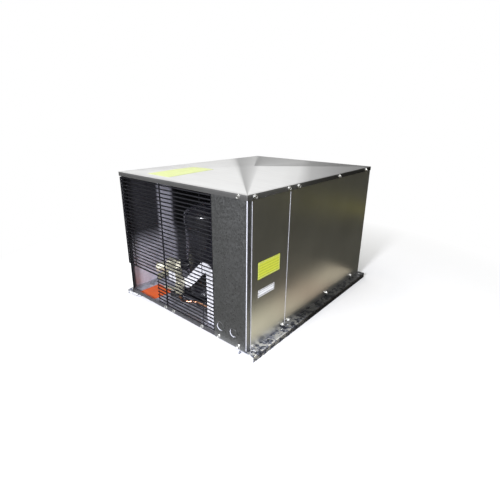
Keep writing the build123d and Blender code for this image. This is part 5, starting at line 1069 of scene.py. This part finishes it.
class UNIT_OT_plates(bpy.types.Operator):
    """Stick the bare stickers where the photographed ones are"""

    bl_idname = "unit.plates"
    bl_label = "Stickers"

    def execute(self, context):
        plates = context.scene.unit_plates
        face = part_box("access_panel")[1].x
        for name, finish, rim, (y, z), size in (
            ("yellow_sticker", "yellow", "pale_yellow", plates.yellow_place, plates.yellow_size),
            ("white_sticker", "white", "silver", plates.white_place, plates.white_size),
        ):
            self.stick(name, finish, PANEL, (face, y, z), REAR, UP, size)
            self.border(name, rim, (face + plates.thickness, y, z), size)
        self.cover_film(plates)
        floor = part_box("base_pan")[0].z + plates.pan_sheet
        self.stick("floor_card", "orange", UNIT, (*plates.card_place, floor), RIGHT, REAR, plates.card_size)
        return {"FINISHED"}

    def stick(self, name, finish, body, centre, across, up, size):
        """One sticker."""
        plates = bpy.context.scene.unit_plates
        shape = bmesh.new()
        add_plate(shape, centre, across, up, size, plates.thickness, plates.corner)
        finished(name, shape, finish, body)

    def border(self, name, finish, centre, size):
        """The thin printed frame just inside a sticker's rim."""
        plates = bpy.context.scene.unit_plates
        shape = bmesh.new()
        made = bmesh.ops.create_grid(shape, x_segments=1, y_segments=1, size=0.5)["verts"]
        width, height = (measure - 2 * plates.margin for measure in size)
        bmesh.ops.scale(shape, vec=(width, height, 1), verts=made)
        outer = shape.faces[:]
        bmesh.ops.inset_individual(shape, faces=outer, thickness=plates.rim)
        bmesh.ops.delete(shape, geom=outer, context="FACES_ONLY")
        turn = Matrix((REAR, UP, RIGHT)).transposed()
        bmesh.ops.rotate(shape, cent=(0, 0, 0), matrix=turn, verts=shape.verts)
        bmesh.ops.translate(shape, vec=centre, verts=shape.verts)
        raise_faces(shape, RIGHT * plates.ink)
        finished(name + "_border", shape, finish, PANEL, soft=False)

    def cover_film(self, plates):
        """The pale film on the cover, which follows its slopes."""
        low, high = cad_cover
        lip = high.z - plates.cover_rise
        shape = bmesh.new()
        made = bmesh.ops.create_grid(
            shape, x_segments=plates.film_columns, y_segments=plates.film_rows, size=0.5
        )["verts"]
        bmesh.ops.scale(shape, vec=(*plates.film_size, 1), verts=made)
        bmesh.ops.translate(shape, vec=(*plates.film_place, 0), verts=made)
        for vert in shape.verts:
            share = min(1 - abs(vert.co.x) / high.x, 1 - abs(vert.co.y) / high.y)
            vert.co.z = lip + plates.cover_rise * share + plates.thickness / 2
        raise_faces(shape, UP * plates.thickness)
        finished("cover_sticker", shape, "pale_yellow", UNIT)


def seen_directly(tree):
    """1 for what the camera sees, also in metal and through glass, and 0 for light on the object."""
    path = add_node(tree, "LightPath").outputs
    seen = path["Is Camera Ray"]
    for ray in ("Is Glossy Ray", "Is Transmission Ray"):
        seen = add_node(tree, "Math", {0: seen, 1: path[ray]}, operation="MAXIMUM").outputs["Value"]
    return seen


class UNIT_OT_studio(bpy.types.Operator):
    """Set up the floor, the dark cards, the lamps and the camera"""

    bl_idname = "unit.studio"
    bl_label = "Studio"

    def execute(self, context):
        studio = context.scene.unit_studio
        self.add_floor(studio)
        self.add_cards(studio)
        self.add_lights(context, studio)
        self.add_camera(context, studio)
        context.scene.view_settings.view_transform = "Standard"
        return {"FINISHED"}

    def add_floor(self, studio):
        """A pale floor that shows as white and keeps the unit's shadow."""
        shape = bmesh.new()
        bmesh.ops.create_grid(shape, x_segments=1, y_segments=1, size=studio.floor_reach)
        floor = placed("floor", shape)
        finish = Finish("pale_floor", studio.floor_colour[:], 0.0, 0.7)
        finish.shades(finish.noise(2, 3), (0.3, 0.985), (0.7, 1))
        near = finish.gradient("SPHERICAL", (0, 0, 0), stretch=1 / studio.white_reach)
        limits = {"From Min": 1 - studio.shadow_reach / studio.white_reach, "From Max": 0, "Value": near}
        far = finish.add("MapRange", limits).outputs["Result"]
        factors = {0: far, 1: seen_directly(finish.tree)}
        share = finish.add("Math", factors, operation="MULTIPLY").outputs["Value"]
        white = finish.add("Emission").outputs["Emission"]
        mix = finish.add("MixShader", {"Fac": share, 1: finish.shader.outputs["BSDF"], 2: white})
        surface = finish.tree.nodes["Material Output"].inputs["Surface"]
        finish.tree.links.new(mix.outputs["Shader"], surface)
        floor.data.materials.append(finish.material)

    def add_cards(self, studio):
        """Dark and tan cards round the unit and a yellow strip, which only its reflections show."""
        hood = Vector(cad_cover[1])
        inner = hood + Vector((studio.card_start, studio.front_start, 0))
        outer = inner + Vector((studio.card_reach, studio.card_reach, 0))
        tan_x = hood.x + studio.tan_start
        rail_x = cad_high.x + studio.card_lift[0]
        on_floor = studio.card_lift[:]
        standing = (0, studio.card_height)
        dark = bmesh.new()
        tan = bmesh.new()
        for side in (-1, 1):
            end = side * outer
            for shape, across, along, up in (
                (dark, (side * inner.x, end.x), (-outer.y, outer.y), on_floor),
                (dark, (-inner.x, inner.x), (side * inner.y, end.y), on_floor),
                (dark, (end.x, end.x + studio.card_sheet), (-outer.y, outer.y), standing),
                (dark, (-outer.x, outer.x), (end.y, end.y + studio.card_sheet), standing),
                (tan, (side * tan_x, side * inner.x), (-inner.y, inner.y), on_floor),
                (dark, (side * rail_x, side * tan_x), (-inner.y, inner.y), on_floor),
            ):
                low, high = zip(*(sorted(pair) for pair in (across, along, up)))
                add_box(shape, low, high)
        self.place_card("dark_cards", dark, studio.card_colour)
        self.place_card("tan_cards", tan, studio.tan_colour)
        streak = bmesh.new()
        start = Vector(studio.streak_start)
        end = Vector(studio.streak_end)
        made = bmesh.ops.create_cube(streak, size=1)["verts"]
        size = ((end - start).length, studio.streak_width, studio.streak_sheet)
        bmesh.ops.scale(streak, vec=size, verts=made)
        turn = RIGHT.rotation_difference(end - start).to_matrix()
        bmesh.ops.rotate(streak, cent=(0, 0, 0), matrix=turn, verts=made)
        bmesh.ops.translate(streak, vec=(start + end) / 2, verts=made)
        self.place_card("streak_card", streak, studio.streak_colour)

    def place_card(self, name, shape, base):
        """A card that lights nothing, hides nothing and shows in reflections alone."""
        card = placed(name, shape)
        finish = Finish(name, base[:], 0.0, 0.9)
        finish.shades(finish.noise(1.4, 3), (0.3, 0.7), (0.7, 1.5))
        card.data.materials.append(finish.material)
        for rays in ("camera", "diffuse", "shadow", "transmission"):
            setattr(card, "visible_" + rays, False)

    def add_lamp(self, name, place, target, size, power, shade_of_light):
        """A square soft lamp that points at a target."""
        lamp = bpy.data.lights.new(name, "AREA")
        lamp.shape = "SQUARE"
        lamp.size = size
        lamp.energy = power
        lamp.color = shade_of_light
        holder = bpy.data.objects.new(name, lamp)
        holder.location = place
        holder.rotation_euler = (Vector(target) - Vector(place)).to_track_quat("-Z", "Y").to_euler()
        bpy.context.scene.collection.objects.link(holder)

    def add_lights(self, context, studio):
        """An overhead lamp, a lamp by the camera and an even sky that shows as white."""
        self.add_lamp(
            "overhead_lamp", studio.key_place, studio.key_target, studio.key_size, studio.key_power, (1, 1, 1)
        )
        self.add_lamp(
            "camera_lamp", studio.fill_place, studio.fill_target, studio.fill_size, studio.fill_power,
            studio.fill_colour,
        )
        world = bpy.data.worlds.new("studio_sky")
        world.use_nodes = True
        tree = world.node_tree
        even = tree.nodes["Background"]
        even.inputs["Color"].default_value = (1, 1, 1, 1)
        even.inputs["Strength"].default_value = studio.sky_strength
        white = add_node(tree, "Background", {"Color": (1, 1, 1, 1), "Strength": 1})
        shares = {"Fac": seen_directly(tree), 1: even.outputs["Background"], 2: white.outputs["Background"]}
        mix = add_node(tree, "MixShader", shares)
        tree.links.new(mix.outputs["Shader"], tree.nodes["World Output"].inputs["Surface"])
        context.scene.world = world

    def add_camera(self, context, studio):
        """The camera at the photograph's place and angle."""
        lens = bpy.data.cameras.new("camera")
        lens.lens = studio.lens
        lens.sensor_width = studio.sensor
        lens.shift_x = studio.shift_right
        lens.shift_y = studio.shift_up
        lens.clip_start = studio.nearest
        camera = bpy.data.objects.new("camera", lens)
        turn = Matrix.Rotation(studio.camera_turn, 4, "Z")
        tilt = Matrix.Rotation(math.pi / 2 - studio.camera_pitch, 4, "X")
        lean = Matrix.Rotation(studio.camera_roll, 4, "Z")
        camera.matrix_world = Matrix.Translation(studio.camera_place) @ turn @ tilt @ lean
        context.scene.collection.objects.link(camera)
        context.scene.camera = camera


STEPS = (
    UNIT_OT_studio,
    UNIT_OT_finishes,
    UNIT_OT_screws,
    UNIT_OT_return_bends,
    UNIT_OT_wires,
    UNIT_OT_fins,
    UNIT_OT_beads,
    UNIT_OT_edges,
    UNIT_OT_knock_outs,
    UNIT_OT_plates,
)


class UNIT_PT_sidebar(bpy.types.Panel):
    """Lists the steps that dress the unit"""

    bl_idname = "UNIT_PT_sidebar"
    bl_label = "Condensing unit"
    bl_space_type = "VIEW_3D"
    bl_region_type = "UI"
    bl_category = "Condensing unit"

    def draw(self, context):
        for step in STEPS:
            self.layout.operator(step.bl_idname)
        for name, group in SETTINGS.items():
            box = self.layout.box()
            box.label(text=group.__doc__)
            for setting in group.__annotations__:
                box.prop(getattr(context.scene, name), setting)


CLASSES = (*SETTINGS.values(), *STEPS, UNIT_PT_sidebar)


def register():
    """Adds the settings, steps and panel."""
    for cls in CLASSES:
        bpy.utils.register_class(cls)
    for name, group in SETTINGS.items():
        setattr(bpy.types.Scene, name, bpy.props.PointerProperty(type=group))


def unregister():
    """Takes them away again."""
    for name in SETTINGS:
        delattr(bpy.types.Scene, name)
    for cls in reversed(CLASSES):
        bpy.utils.unregister_class(cls)


def main():
    """Dresses the unit from the frame up."""
    register()
    for step in STEPS:
        family, name = step.bl_idname.split(".")
        getattr(getattr(bpy.ops, family), name)()


if __name__ == "__main__":
    main()
